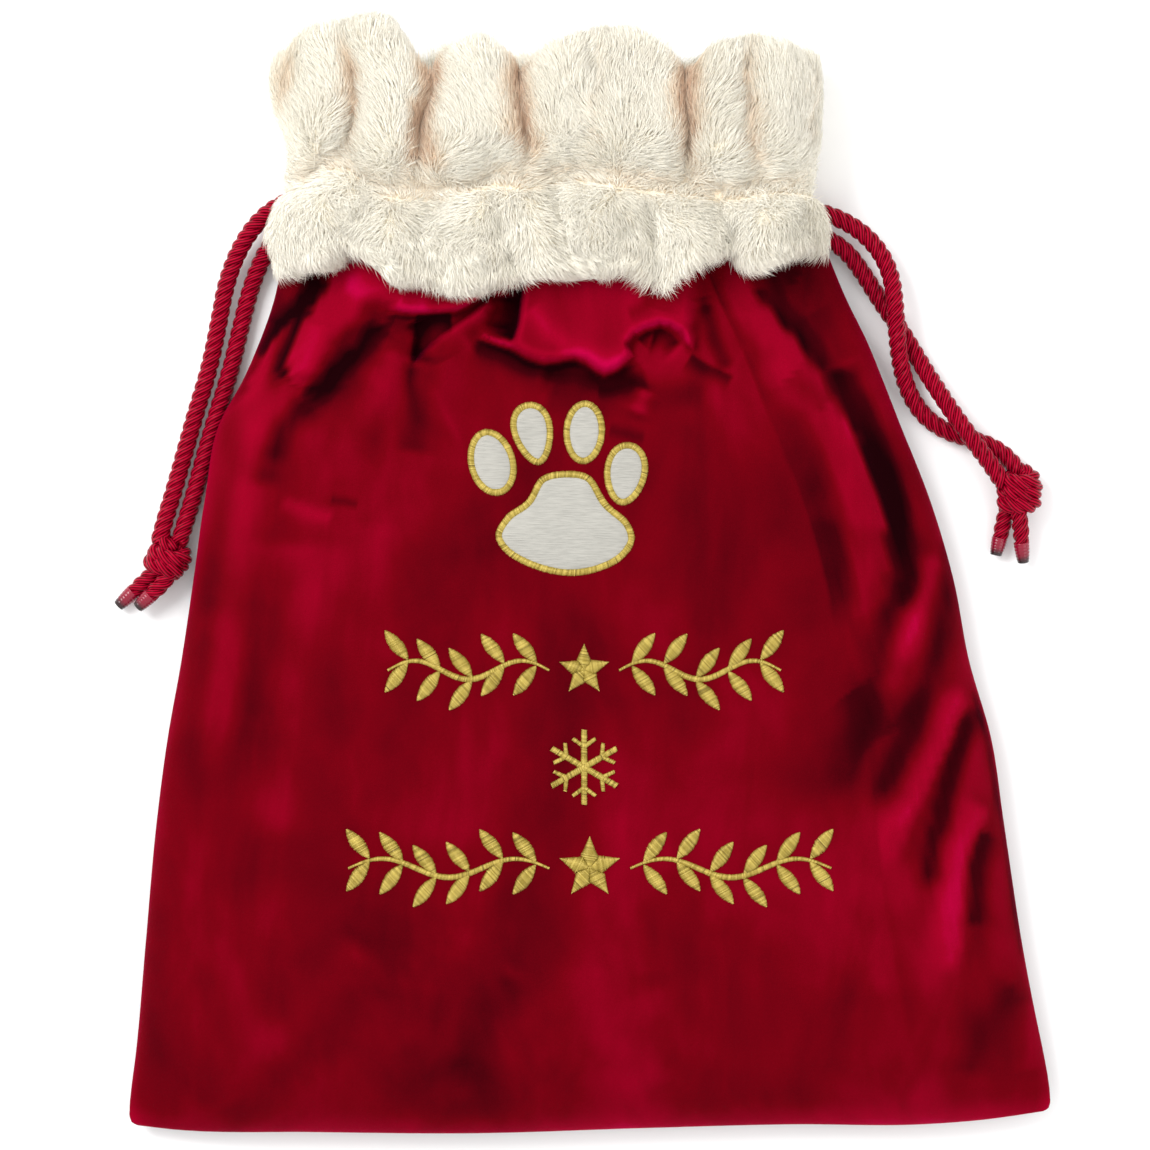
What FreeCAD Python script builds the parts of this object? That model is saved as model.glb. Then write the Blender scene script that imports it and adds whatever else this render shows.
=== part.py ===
import FreeCAD, Part
import math
import os

from FreeCAD import Vector

# A velvet gift sack lying on its back on a table, with a faux-fur cuff and two drawcords.
# Millimetres. +X to the right of the sack's front, +Y towards the mouth, +Z up out of the front.
# The origin is on the table, under the middle of the sack's outline.

# ---- driving dimensions -------------------------------------------------------------------
BODY_TOP = 44.0              # height of the front face when the sack is lightly filled
SEAM_HEIGHT = 12.0           # height of the side seams above the table
VELVET = 2.5                 # velvet with its pile and backing
LINING = 0.8                 # satin lining
SKIN_GAP = 0.6               # air between velvet and lining
SHOULDER = 70.0              # width of the rounded stretch at each side
SEAM_PART = 0.2              # half of the parting between the front and back velvet
UNDER = -0.4                 # the underside is shaped a little low, then trimmed at the table
TABLE = ((-260.0, -310.0, -5.0), (260.0, 160.0, 0.0))

# y, left edge, right edge, front height, seam height, underside height
BODY_STATIONS = [
    (-302.0, -243.0, 243.0, 13.0, 7.0, 1.5),
    (-288.0, -248.0, 248.0, 27.0, 11.0, UNDER),
    (-225.0, -240.0, 236.0, BODY_TOP, SEAM_HEIGHT, UNDER),
    (-130.0, -230.0, 222.0, BODY_TOP, SEAM_HEIGHT, UNDER),
    (-40.0, -217.0, 203.0, BODY_TOP, SEAM_HEIGHT, UNDER),
    (20.0, -208.0, 189.0, BODY_TOP, SEAM_HEIGHT, UNDER),
    (66.0, -199.0, 173.0, BODY_TOP, SEAM_HEIGHT, UNDER),
    (112.0, -179.0, 154.0, BODY_TOP, SEAM_HEIGHT, UNDER),
    (146.6, -169.0, 138.0, BODY_TOP, SEAM_HEIGHT, UNDER),
]

LINING_INSET = 20.0          # the lining's own seam is this far inside the velvet's
LINING_BOTTOM_Y = -286.0
SEAM_TAPE_WIDTH = 12.0
SEAM_TAPE_THICK = 2.8
SEAM_TAPE_INSET = 4.0
BOTTOM_SEAM = ((-225.0, -299.5, 5.2), (225.0, -291.5, 8.8))

CUFF_SHOULDER = 46.0
CUFF_FOOT_BACK = 28.0        # where the back half of the cuff ends at each side
CUFF_FOOT_FRONT = 30.0       # where the front half starts
# y, left edge, right edge, front height, wall
CUFF_FRONT_STATIONS = [
    (147.0, -166.0, 133.0, 56.0, 9.0),
    (172.0, -171.0, 131.0, 61.0, 14.0),
    (212.5, -166.0, 126.0, 56.0, 9.0),
    (219.0, -167.0, 126.0, 58.0, 13.0),
    (262.0, -172.0, 129.0, 66.0, 21.0),
    (292.0, -168.0, 126.0, 64.0, 19.0),
    (302.0, -160.0, 117.0, 57.0, 12.0),
]
# y, left edge, right edge, underside height, wall
CUFF_BACK_STATIONS = [
    (147.0, -166.0, 133.0, 0.0, 9.0),
    (172.0, -171.0, 131.0, 0.0, 9.0),
    (212.5, -166.0, 126.0, 0.0, 9.0),
    (219.0, -167.0, 126.0, 0.0, 12.0),
    (262.0, -172.0, 129.0, 0.0, 12.0),
    (292.0, -168.0, 126.0, 0.0, 12.0),
    (302.0, -160.0, 117.0, 2.0, 10.0),
]

CORD_D = 10.0
CORD_R = CORD_D / 2
CHANNEL_Y = (178.5, 212.0)   # the casing's two rows of stitching
TAPE_THICK = 0.8
BACK_CORD_Z = 15.5
FRONT_CORD_Z = 41.4
BACK_TAPE_Z = 20.9           # inner face of the back casing tape
FRONT_TAPE_Z = 36.0          # inner face of the front casing tape
SEWING_GAP = 0.3             # between a tape's sewn edges and the cuff's inner face
# name: left end, right end
TAPES = {"back": (-122.0, 82.0), "front": (-118.0, 78.0)}
# name: left end, right end, y, height of the cord in its casing
CHANNEL_CORDS = {
    "channel_cord_back_upper": (-48.0, 10.0, 203.0, BACK_CORD_Z),
    "channel_cord_back_lower": (-48.0, 8.0, 189.0, BACK_CORD_Z),
    "channel_cord_front_upper": (-116.0, 76.0, 203.0, FRONT_CORD_Z),
    "channel_cord_front_lower": (-116.0, 76.0, 189.0, FRONT_CORD_Z),
}

PULL_TRAVEL = 60.0           # how far each pull draws out of the casing
LEAD_STAY = 26.0             # what is still inside when the pull is fully drawn
LEAD_LENGTH = PULL_TRAVEL + LEAD_STAY

# Cord routes, from the casing to the knot, chosen by hand: straight out of the casing,
# down to the table, along it, and up into the knot.
LEFT_OUTER = [
    (-140.0, 204.0, 15.5), (-154.0, 204.0, 15.5), (-168.0, 200.0, 15.4), (-180.6, 190.0, 14.6),
    (-190.8, 175.0, 11.2), (-197.8, 157.0, 7.0), (-201.6, 136.5, 5.3), (-206.8, 111.0, 5.2),
    (-214.6, 86.0, 5.2), (-221.2, 62.0, 5.2), (-227.0, 41.5, 5.5), (-231.2, 27.5, 7.4),
    (-234.0, 16.0, 9.0),
]
LEFT_INNER = [
    (-142.0, 192.0, 15.5), (-154.0, 192.0, 15.5), (-166.0, 186.8, 12.6), (-175.0, 176.5, 8.2),
    (-181.5, 163.0, 5.5), (-186.4, 147.5, 5.2), (-190.8, 128.5, 5.2), (-195.8, 108.0, 5.2),
    (-203.5, 84.0, 5.2), (-210.2, 61.0, 5.2), (-215.6, 40.5, 5.5), (-219.8, 27.0, 7.4),
    (-223.2, 15.6, 9.0),
]
RIGHT_OUTER = [
    (104.0, 197.2, 15.5), (118.0, 197.2, 15.5), (132.5, 193.5, 15.3), (146.5, 186.0, 14.2),
    (157.4, 175.0, 13.2), (163.6, 161.5, 14.2), (165.4, 147.0, 17.0), (166.4, 129.5, 17.0),
    (168.6, 113.0, 11.0), (173.4, 98.0, 5.6), (182.0, 85.0, 5.2), (194.0, 76.8, 5.2),
    (208.0, 72.8, 5.2), (220.5, 68.4, 5.4), (230.0, 60.6, 6.4), (236.0, 51.0, 8.0),
]
RIGHT_INNER = [
    (100.0, 185.2, 15.5), (115.0, 185.2, 15.5), (128.5, 182.0, 13.6), (140.0, 174.5, 9.8),
    (149.5, 162.0, 6.0), (158.8, 147.0, 5.2), (169.2, 132.5, 5.2), (179.0, 116.0, 5.8),
    (188.2, 100.5, 11.0), (198.0, 85.0, 16.8), (210.0, 68.5, 16.8), (218.4, 57.6, 15.0),
    (224.4, 48.6, 13.0),
]

# Knots: centre, radius across, half length, direction of the strands going in.
LEFT_KNOT = ((-229.0, 7.5, 10.9), 12.6, 13.0, 100.0)
RIGHT_KNOT = ((234.5, 44.0, 10.9), 12.4, 15.2, 128.0)
KNOT_FLAT = 10.4             # the knot's half height
KNOT_END_R = 0.62            # radius of the knot's flat ends, as a share of its radius

# Tails: start inside the knot, end of the rope, end of the taped tip.
LEFT_TAILS = [
    ((-236.5, 1.0, 7.0), (-249.5, -11.5, 5.3), (-256.6, -18.0, 5.2)),
    ((-228.0, -2.5, 13.0), (-239.4, -13.0, 11.2), (-245.6, -18.8, 9.6)),
]
RIGHT_TAILS = [
    ((233.0, 33.0, 12.0), (235.0, 15.0, 8.6), (235.9, 5.6, 6.4)),
    ((226.0, 34.0, 6.0), (222.6, 17.5, 5.2), (221.0, 9.5, 5.1)),
]
TAIL_R = 4.6
TIP_R = 4.2
TIP_END_R = 3.2

# Paw applique: pads of felt with a satin-stitched border, on the flat of the front face.
APPLIQUE_BASE = BODY_TOP + 0.3
PAD_THICK = 2.0
BORDER_THICK = 3.0
BORDER_WIDTH = 4.4
PAD_GAP = 0.2
# name, centre x, centre y, full width, full height, lean in degrees (positive leans left)
TOES = [
    ("outer_left", -52.4, 59.2, 26.0, 37.0, 15.0),
    ("inner_left", -30.4, 74.6, 22.6, 35.0, 12.0),
    ("inner_right", -3.0, 75.3, 22.8, 34.7, -3.0),
    ("outer_right", 19.2, 53.1, 23.8, 34.7, -8.0),
]
# Main pad: a bell-shaped outline, clockwise from the top.
MAIN_PAD = [
    (-12.7, 54.9), (0.6, 52.0), (9.7, 38.1), (20.9, 27.9), (24.2, 17.0), (17.0, 6.6),
    (3.0, 0.0), (-13.0, -1.8), (-30.0, 2.0), (-44.6, 9.8), (-50.8, 20.0), (-45.0, 31.0),
    (-34.2, 39.1), (-26.4, 51.6),
]

# Gold embroidery: plain leaf garlands, two stars and a snowflake, in satin stitch.
STITCH_THICK = 1.2
STEM_WIDTH = 4.0
# name, inner end x, outer end x, middle y, wave height, number of leaf pairs, leaf length
GARLANDS = [
    ("upper_left", -22.0, -108.0, -52.0, 5.0, 5, 21.0),
    ("upper_right", 16.0, 102.0, -52.0, 5.0, 5, 21.0),
    ("lower_left", -22.0, -129.0, -158.0, 5.0, 6, 21.0),
    ("lower_right", 22.0, 129.0, -158.0, 5.0, 6, 21.0),
]
LEAF_WIDTH = 8.0
LEAF_SPREAD = 52.0           # degrees between a leaf and the garland's run
LEAF_START = 0.35            # where in its share of the stem a pair of leaves sits
STEM_WAVES = 1.5
STEM_STEPS = 12
# name, x, y, outer radius
STARS = [("upper", -3.0, -52.0, 14.0), ("lower", 0.0, -158.0, 17.0)]
STAR_POINTS = 5
STAR_INNER = 0.45
SNOWFLAKE = (-3.0, -104.0, 20.0)
SNOW_ARMS = 6
SNOW_WIDTH = 4.0
BARB_LENGTH = 0.36           # of the snowflake's radius
BARB_WIDTH = 2.8
BARB_PLACE = 0.55            # share of the arm where the barbs start
BARB_SPREAD = 55.0

# Openings in the back cuff's edges where the drawcords come out: low corner, high corner.
EXIT_SLOTS = [
    ((-190.0, 171.0, 5.5), (-126.0, 212.0, 24.0)),
    ((84.0, 171.0, 5.5), (150.0, 208.0, 24.0)),
]


def quarter(start, end):
    """A rounded edge in an X-Z section: upright at start, level at end."""
    k = 0.5523
    upright = Vector(start.x, start.y, start.z + k * (end.z - start.z))
    level = Vector(end.x + k * (start.x - end.x), end.y, end.z)
    curve = Part.BezierCurve()
    curve.setPoles([start, upright, level, end])
    return curve.toShape()


def line(start, end):
    return Part.LineSegment(start, end).toShape()


def arch(y, left, right, foot, crown, shoulder, wall):
    """Closed section of a curved skin, from foot to foot over (or under) the crown."""
    side = 1.0 if crown > foot else -1.0
    outer = [
        Vector(left, y, foot), Vector(left + shoulder, y, crown),
        Vector(right - shoulder, y, crown), Vector(right, y, foot),
    ]
    inner = [
        Vector(left + wall, y, foot), Vector(left + shoulder, y, crown - side * wall),
        Vector(right - shoulder, y, crown - side * wall), Vector(right - wall, y, foot),
    ]
    edges = [
        quarter(outer[0], outer[1]), line(outer[1], outer[2]), quarter(outer[3], outer[2]),
        line(outer[3], inner[3]),
        quarter(inner[3], inner[2]), line(inner[2], inner[1]), quarter(inner[0], inner[1]),
        line(inner[0], outer[0]),
    ]
    return Part.Wire(Part.__sortEdges__(edges))


def skin(sections):
    return Part.makeLoft(sections, True, True)


def body_skin(stations, front, inset, thick, depth):
    """Front or back half of the sack's body, inset from the outline by the given amounts."""
    sections = []
    for y, left, right, top, seam, under in stations:
        foot = seam + SEAM_PART if front else seam - SEAM_PART
        crown = top - depth if front else under + depth
        sections.append(arch(y, left + inset, right - inset, foot, crown, SHOULDER, thick))
    return skin(sections)


def lining_stations():
    """The body's stations, starting higher than the bottom seam."""
    first = (LINING_BOTTOM_Y,) + BODY_STATIONS[1][1:]
    return [first] + BODY_STATIONS[2:]


def cuff_skin(stations, front):
    sections = []
    for y, left, right, crown, wall in stations:
        foot = CUFF_FOOT_FRONT if front else CUFF_FOOT_BACK
        sections.append(arch(y, left, right, foot, crown, CUFF_SHOULDER, wall))
    return skin(sections)


def seam_tape(side):
    """Folded seam allowance that runs inside one side edge."""
    sections = []
    for y, left, right, top, seam, under in BODY_STATIONS[1:]:
        near = left + SEAM_TAPE_INSET if side < 0 else right - SEAM_TAPE_INSET
        far = near - side * SEAM_TAPE_WIDTH
        low = seam - SEAM_TAPE_THICK / 2
        high = seam + SEAM_TAPE_THICK / 2
        corners = [
            Vector(near, y, low), Vector(far, y, low), Vector(far, y, high), Vector(near, y, high),
        ]
        sections.append(Part.makePolygon(corners + corners[:1]))
    return skin(sections)


def bottom_seam():
    return block(*BOTTOM_SEAM)


def casing_tape(left, right, tape_z, cuff_z):
    """Tape that closes the channel: a flat web and two sewn edges reaching the cuff."""
    low, high = CHANNEL_Y
    depth = high - low
    up = 1.0 if cuff_z > tape_z else -1.0
    outer_z = tape_z - up * TAPE_THICK
    bottom = min(outer_z, cuff_z)
    height = abs(cuff_z - outer_z)
    block = Part.makeBox(right - left, depth, height, Vector(left, low, bottom))
    hollow_bottom = min(tape_z, cuff_z) - (0.0 if up > 0 else 1.0)
    hollow_height = abs(cuff_z - tape_z) + 1.0
    corner = Vector(left - 1.0, low + TAPE_THICK, hollow_bottom)
    hollow = Part.makeBox(right - left + 2.0, depth - 2 * TAPE_THICK, hollow_height, corner)
    return block.cut(hollow)


def rod_x(left, right, y, z):
    return Part.makeCylinder(CORD_R, right - left, Vector(left, y, z), Vector(1, 0, 0))


def cord_tube(name, points):
    """A cord along straight runs joined by arcs as large as the two runs allow."""
    route = [Vector(*p) for p in points]
    edges = []
    radii = []
    last = route[0]
    for before, corner, after in zip(route, route[1:], route[2:]):
        back = before - corner
        ahead = after - corner
        run = min(back.Length, ahead.Length)
        turn = math.pi - back.getAngle(ahead)
        reach = 0.45 * run
        radii.append(reach / math.tan(turn / 2))
        start = corner + back * (reach / back.Length)
        end = corner + ahead * (reach / ahead.Length)
        bisector = back * (1 / back.Length) + ahead * (1 / ahead.Length)
        bisector.normalize()
        sagitta = radii[-1] / math.cos(turn / 2) - radii[-1]
        edges.append(line(last, start))
        edges.append(Part.Arc(start, corner + bisector * sagitta, end).toShape())
        last = end
    edges.append(line(last, route[-1]))
    path = Part.Wire(edges)
    section = Part.Wire(Part.makeCircle(CORD_R, route[0], route[1] - route[0]))
    tube = path.makePipeShell([section], True, False)
    expected = math.pi * CORD_R ** 2 * path.Length
    print(name, "length", round(path.Length, 1), "smallest radius", round(min(radii), 1),
          "volume ratio", round(tube.Volume / expected, 4))
    return tube


def knot(centre, radius, half_length, heading):
    """A tied knot's outer shape: a flattened barrel between the strands and the tails."""
    end_r = radius * KNOT_END_R
    low = Vector(-half_length, 0, 0)
    high = Vector(half_length, 0, 0)
    rim_low = Vector(-half_length, end_r, 0)
    rim_high = Vector(half_length, end_r, 0)
    belly = Part.Arc(rim_low, Vector(0, radius, 0), rim_high).toShape()
    outline = Part.Wire([line(low, rim_low), belly, line(rim_high, high), line(high, low)])
    barrel = Part.Face(outline).revolve(Vector(0, 0, 0), Vector(1, 0, 0), 360)
    slab_size = 4 * half_length
    slab = Part.makeBox(slab_size, slab_size, 2 * KNOT_FLAT,
                        Vector(-slab_size / 2, -slab_size / 2, -KNOT_FLAT))
    shape = barrel.common(slab)
    shape.rotate(Vector(0, 0, 0), Vector(0, 0, 1), heading)
    shape.translate(Vector(*centre))
    return shape


def rod(start, end, start_r, end_r):
    first = Vector(*start)
    along = Vector(*end) - first
    if start_r == end_r:
        return Part.makeCylinder(start_r, along.Length, first, along)
    return Part.makeCone(start_r, end_r, along.Length, first, along)


def plate(wire, base, thick):
    return Part.Face(wire).extrude(Vector(0, 0, thick)).translated(Vector(0, 0, base))


def ellipse_wire(x, y, width, height, lean):
    """An upright oval, leaning to the left by the given angle."""
    oval = Part.Ellipse(Vector(0, 0, 0), height / 2, width / 2).toShape()
    wire = Part.Wire(oval)
    wire.rotate(Vector(0, 0, 0), Vector(0, 0, 1), 90.0 + lean)
    wire.translate(Vector(x, y, 0))
    return wire


def ring(outer, inner, base, thick):
    return plate(outer, base, thick).cut(plate(inner, base - 1.0, thick + 2.0))


def toe_pad(toe):
    name, x, y, width, height, lean = toe
    shrink = 2 * BORDER_WIDTH + 2 * PAD_GAP
    return plate(ellipse_wire(x, y, width - shrink, height - shrink, lean), APPLIQUE_BASE, PAD_THICK)


def toe_border(toe):
    name, x, y, width, height, lean = toe
    shrink = 2 * BORDER_WIDTH
    outer = ellipse_wire(x, y, width, height, lean)
    inner = ellipse_wire(x, y, width - shrink, height - shrink, lean)
    return ring(outer, inner, APPLIQUE_BASE, BORDER_THICK)


def main_pad_wire(inset):
    """The main pad's outline, drawn smaller by the inset on every side."""
    outline = [Vector(x, y, 0) for x, y in MAIN_PAD]
    points = []
    for index, point in enumerate(outline):
        along = outline[(index + 1) % len(outline)] - outline[index - 1]
        inward = Vector(along.y, -along.x, 0)
        inward.normalize()
        points.append(point + inward * inset)
    curve = Part.BSplineCurve()
    curve.interpolate(points, True)
    return Part.Wire(curve.toShape())


def leaf_wire(x, y, heading, length, width):
    """A leaf from its stalk at x, y: two equal arcs that meet in a point."""
    tip = Vector(length, 0, 0)
    root = Vector(0, 0, 0)
    upper = Part.Arc(root, Vector(length / 2, width / 2, 0), tip).toShape()
    lower = Part.Arc(tip, Vector(length / 2, -width / 2, 0), root).toShape()
    wire = Part.Wire([upper, lower])
    wire.rotate(root, Vector(0, 0, 1), heading)
    wire.translate(Vector(x, y, 0))
    return wire


def stem_point(inner, outer, y, wave, t):
    """A point on a garland's waving stem, t from 0 at the inner end to 1."""
    return Vector(inner + (outer - inner) * t, y + wave * math.sin(2 * math.pi * STEM_WAVES * t), 0)


def garland(entry):
    name, inner, outer, y, wave, pairs, leaf_length = entry
    upper = []
    lower = []
    for step in range(STEM_STEPS + 1):
        middle = stem_point(inner, outer, y, wave, step / STEM_STEPS)
        upper.append(middle + Vector(0, STEM_WIDTH / 2, 0))
        lower.append(middle - Vector(0, STEM_WIDTH / 2, 0))
    top_edge = Part.BSplineCurve()
    top_edge.interpolate(upper)
    bottom_edge = Part.BSplineCurve()
    bottom_edge.interpolate(lower[::-1])
    outline = Part.Wire([
        top_edge.toShape(), line(upper[-1], lower[-1]), bottom_edge.toShape(), line(lower[0], upper[0]),
    ])
    shape = plate(outline, APPLIQUE_BASE, STITCH_THICK)
    outward = 0.0 if outer > inner else 180.0
    mirror = 1.0 if outer > inner else -1.0
    for pair in range(pairs):
        root = stem_point(inner, outer, y, wave, (pair + LEAF_START) / pairs)
        for side in (1, -1):
            heading = outward + mirror * side * LEAF_SPREAD
            leaf = leaf_wire(root.x, root.y, heading, leaf_length, LEAF_WIDTH)
            shape = shape.fuse(plate(leaf, APPLIQUE_BASE, STITCH_THICK))
    return shape.removeSplitter()


def star(x, y, radius):
    corners = []
    for index in range(2 * STAR_POINTS):
        reach = radius if index % 2 == 0 else radius * STAR_INNER
        angle = math.pi / 2 + math.pi * index / STAR_POINTS
        corners.append(Vector(x + reach * math.cos(angle), y + reach * math.sin(angle), 0))
    return plate(Part.makePolygon(corners + corners[:1]), APPLIQUE_BASE, STITCH_THICK)


def snowflake(x, y, radius):
    """Three bars through one middle, with a pair of short barbs on each arm."""
    shape = None
    for arm in range(SNOW_ARMS):
        angle = 360.0 * arm / SNOW_ARMS + 90.0
        bars = [Part.makeBox(radius, SNOW_WIDTH, STITCH_THICK, Vector(0, -SNOW_WIDTH / 2, 0))]
        for side in (1, -1):
            barb = Part.makeBox(radius * BARB_LENGTH, BARB_WIDTH, STITCH_THICK, Vector(0, -BARB_WIDTH / 2, 0))
            barb.rotate(Vector(0, 0, 0), Vector(0, 0, 1), side * BARB_SPREAD)
            barb.translate(Vector(radius * BARB_PLACE, 0, 0))
            bars.append(barb)
        for bar in bars:
            bar.rotate(Vector(0, 0, 0), Vector(0, 0, 1), angle)
            bar.translate(Vector(x, y, APPLIQUE_BASE))
            shape = bar if shape is None else shape.fuse(bar)
    return shape.removeSplitter()


def block(low, high):
    size = Vector(*high) - Vector(*low)
    return Part.makeBox(size.x, size.y, size.z, Vector(*low))


def sack_parts():
    depth = VELVET + SKIN_GAP
    return {
        "back_panel": body_skin(BODY_STATIONS, False, 0.0, VELVET, 0.0).cut(block(*TABLE)),
        "front_panel": body_skin(BODY_STATIONS, True, 0.0, VELVET, 0.0),
        "lining_back": body_skin(lining_stations(), False, LINING_INSET, LINING, depth),
        "lining_front": body_skin(lining_stations(), True, LINING_INSET, LINING, depth),
        "side_seam_left": seam_tape(-1),
        "side_seam_right": seam_tape(1),
        "bottom_seam": bottom_seam(),
    }


def cuff_parts():
    back = cuff_skin(CUFF_BACK_STATIONS, False)
    for low, high in EXIT_SLOTS:
        back = back.cut(block(low, high))
    back_floor = CUFF_BACK_STATIONS[0][4] + SEWING_GAP
    front_roof = CUFF_FRONT_STATIONS[2][3] - CUFF_FRONT_STATIONS[2][4] - SEWING_GAP
    parts = {
        "fur_cuff_back": back,
        "fur_cuff_front": cuff_skin(CUFF_FRONT_STATIONS, True),
        "casing_tape_back": casing_tape(*TAPES["back"], BACK_TAPE_Z, back_floor),
        "casing_tape_front": casing_tape(*TAPES["front"], FRONT_TAPE_Z, front_roof),
    }
    for name, run in CHANNEL_CORDS.items():
        parts[name] = rod_x(*run)
    return parts


def pull_parts(side, routes, tie, tails):
    """One drawcord pull: two strands with their leads in the casing, a knot and two tails."""
    outward = -1.0 if side == "left" else 1.0
    parts = {}
    for name, route in zip(("outer", "inner"), routes):
        x, y, z = route[0]
        ends = sorted((x, x - outward * LEAD_LENGTH))
        parts["drawcord_" + side + "_lead_" + name] = rod_x(ends[0], ends[1], y, z)
        node = "drawcord_" + side + "_strand_" + name
        parts[node] = cord_tube(node, route)
    parts["drawcord_" + side + "_knot"] = knot(*tie)
    for name, (start, middle, end) in zip(("long", "short"), tails):
        parts["drawcord_" + side + "_tail_" + name] = rod(start, middle, TAIL_R, TAIL_R)
        parts["drawcord_" + side + "_tip_" + name] = rod(middle, end, TIP_R, TIP_END_R)
    return parts


def paw_parts():
    parts = {}
    for toe in TOES:
        parts["paw_toe_" + toe[0]] = toe_pad(toe)
        parts["paw_toe_" + toe[0] + "_border"] = toe_border(toe)
    pad = main_pad_wire(BORDER_WIDTH + PAD_GAP)
    parts["paw_main_pad"] = plate(pad, APPLIQUE_BASE, PAD_THICK)
    parts["paw_main_pad_border"] = ring(main_pad_wire(0.0), main_pad_wire(BORDER_WIDTH),
                                        APPLIQUE_BASE, BORDER_THICK)
    return parts


def embroidery_parts():
    parts = {}
    for entry in GARLANDS:
        parts["embroidered_garland_" + entry[0]] = garland(entry)
    for name, x, y, radius in STARS:
        parts["embroidered_star_" + name] = star(x, y, radius)
    parts["embroidered_snowflake"] = snowflake(*SNOWFLAKE)
    return parts


def main():
    os.makedirs("parts", exist_ok=True)
    parts = {}
    parts.update(sack_parts())
    parts.update(cuff_parts())
    parts.update(pull_parts("left", (LEFT_OUTER, LEFT_INNER), LEFT_KNOT, LEFT_TAILS))
    parts.update(pull_parts("right", (RIGHT_OUTER, RIGHT_INNER), RIGHT_KNOT, RIGHT_TAILS))
    parts.update(paw_parts())
    parts.update(embroidery_parts())
    for name, shape in parts.items():
        shape.exportStep(os.path.join("parts", name + ".step"))
    print(len(parts), "nodes")


main()
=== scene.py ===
import math

import bpy
import numpy as np
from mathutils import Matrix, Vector


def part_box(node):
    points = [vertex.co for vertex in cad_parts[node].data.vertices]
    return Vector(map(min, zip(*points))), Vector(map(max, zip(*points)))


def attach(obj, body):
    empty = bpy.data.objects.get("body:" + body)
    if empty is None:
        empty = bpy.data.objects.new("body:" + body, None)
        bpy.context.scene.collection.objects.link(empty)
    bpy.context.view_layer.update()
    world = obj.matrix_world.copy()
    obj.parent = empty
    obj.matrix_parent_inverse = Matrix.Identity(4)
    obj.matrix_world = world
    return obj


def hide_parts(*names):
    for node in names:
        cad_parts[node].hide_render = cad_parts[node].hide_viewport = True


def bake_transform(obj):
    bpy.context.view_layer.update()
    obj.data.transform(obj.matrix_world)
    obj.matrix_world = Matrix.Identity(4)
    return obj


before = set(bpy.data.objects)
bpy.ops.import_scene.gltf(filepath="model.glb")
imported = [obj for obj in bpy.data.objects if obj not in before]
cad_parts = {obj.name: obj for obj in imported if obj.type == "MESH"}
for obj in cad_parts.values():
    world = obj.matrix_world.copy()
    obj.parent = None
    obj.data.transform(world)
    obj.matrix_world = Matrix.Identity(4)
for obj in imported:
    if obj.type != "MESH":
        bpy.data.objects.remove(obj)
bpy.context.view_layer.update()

# A velvet gift sack lying on its back, with a faux-fur cuff and two pairs of rope drawcords.
# Lengths are millimetres in the CAD frame, and become metres when a mesh or curve is made.
MM = 0.001


def placed(points):
    return np.asarray(points, float) * MM


# ---- numbers: curves, noise and folds -------------------------------------------------------

def smooth(low, high, value):
    """Rises from 0 at low to 1 at high, level past both."""
    t = np.clip((value - low) / (high - low), 0.0, 1.0)
    return t * t * (3.0 - 2.0 * t)


def through(knots, x):
    """A smooth curve through (x, value) pairs, level past both ends."""
    table = np.array(knots, float)
    t, v = table[:, 0], table[:, 1]
    slope = np.gradient(v, t)
    x = np.clip(x, t[0], t[-1])
    i = np.clip(np.searchsorted(t, x) - 1, 0, len(t) - 2)
    h = t[i + 1] - t[i]
    s = (x - t[i]) / h
    return (
        v[i] * (1 + 2 * s) * (1 - s) ** 2 + slope[i] * h * s * (1 - s) ** 2
        + v[i + 1] * s ** 2 * (3 - 2 * s) + slope[i + 1] * h * s ** 2 * (s - 1)
    )


def noise(x, y, seed):
    """Smooth value noise from -1 to 1, one lump per unit."""
    table = np.random.default_rng(seed).uniform(-1.0, 1.0, (64, 64))
    xi, yi = np.floor(x).astype(int), np.floor(y).astype(int)
    fx, fy = x - xi, y - yi
    fx, fy = fx * fx * (3 - 2 * fx), fy * fy * (3 - 2 * fy)
    xi, yi = xi % 64, yi % 64
    xj, yj = (xi + 1) % 64, (yi + 1) % 64
    low = table[yi, xi] * (1 - fx) + table[yi, xj] * fx
    high = table[yj, xi] * (1 - fx) + table[yj, xj] * fx
    return low * (1 - fy) + high * fy


def rough(x, y, seed, octaves=3):
    """Noise with finer and fainter lumps added to it."""
    total = 0.0
    for step in range(octaves):
        total = total + noise(x * 2 ** step, y * 2 ** step, seed + step) / 2 ** step
    return total


def ridge(x, y, run, left_width, right_width, fade=0.12):
    """Height from 0 to 1 of a fold along a run of points, fading out at both ends.
    Left and right are the two sides of someone walking along the run."""
    run = np.array(run, float)
    steps = np.diff(run, axis=0)
    lengths = np.hypot(steps[:, 0], steps[:, 1])
    starts = np.concatenate([[0.0], np.cumsum(lengths)])
    best = np.full(np.shape(x), 1e9)
    side = np.zeros(np.shape(x))
    along = np.zeros(np.shape(x))
    for (px, py), (dx, dy), length, start in zip(run, steps, lengths, starts):
        t = ((x - px) * dx + (y - py) * dy) / length ** 2
        inside = np.clip(t, 0.0, 1.0)
        gap = np.hypot(x - px - inside * dx, y - py - inside * dy)
        nearer = gap < best
        best = np.where(nearer, gap, best)
        side = np.where(nearer, dx * (y - py) - dy * (x - px), side)
        along = np.where(nearer, (start + inside * length) / starts[-1], along)
    width = np.where(side > 0, left_width, right_width)
    fading = smooth(0.0, fade, along) * smooth(1.0, 1.0 - 2 * fade, along)
    return np.exp(-(best / width) ** 2) * fading


def shoulder(depth, width):
    """Rises from 0 at an edge, steeply at first, to 1 at width: a quarter of an ellipse."""
    t = 1.0 - np.clip(depth / width, 0.0, 1.0)
    return np.sqrt(1.0 - t * t)


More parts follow.
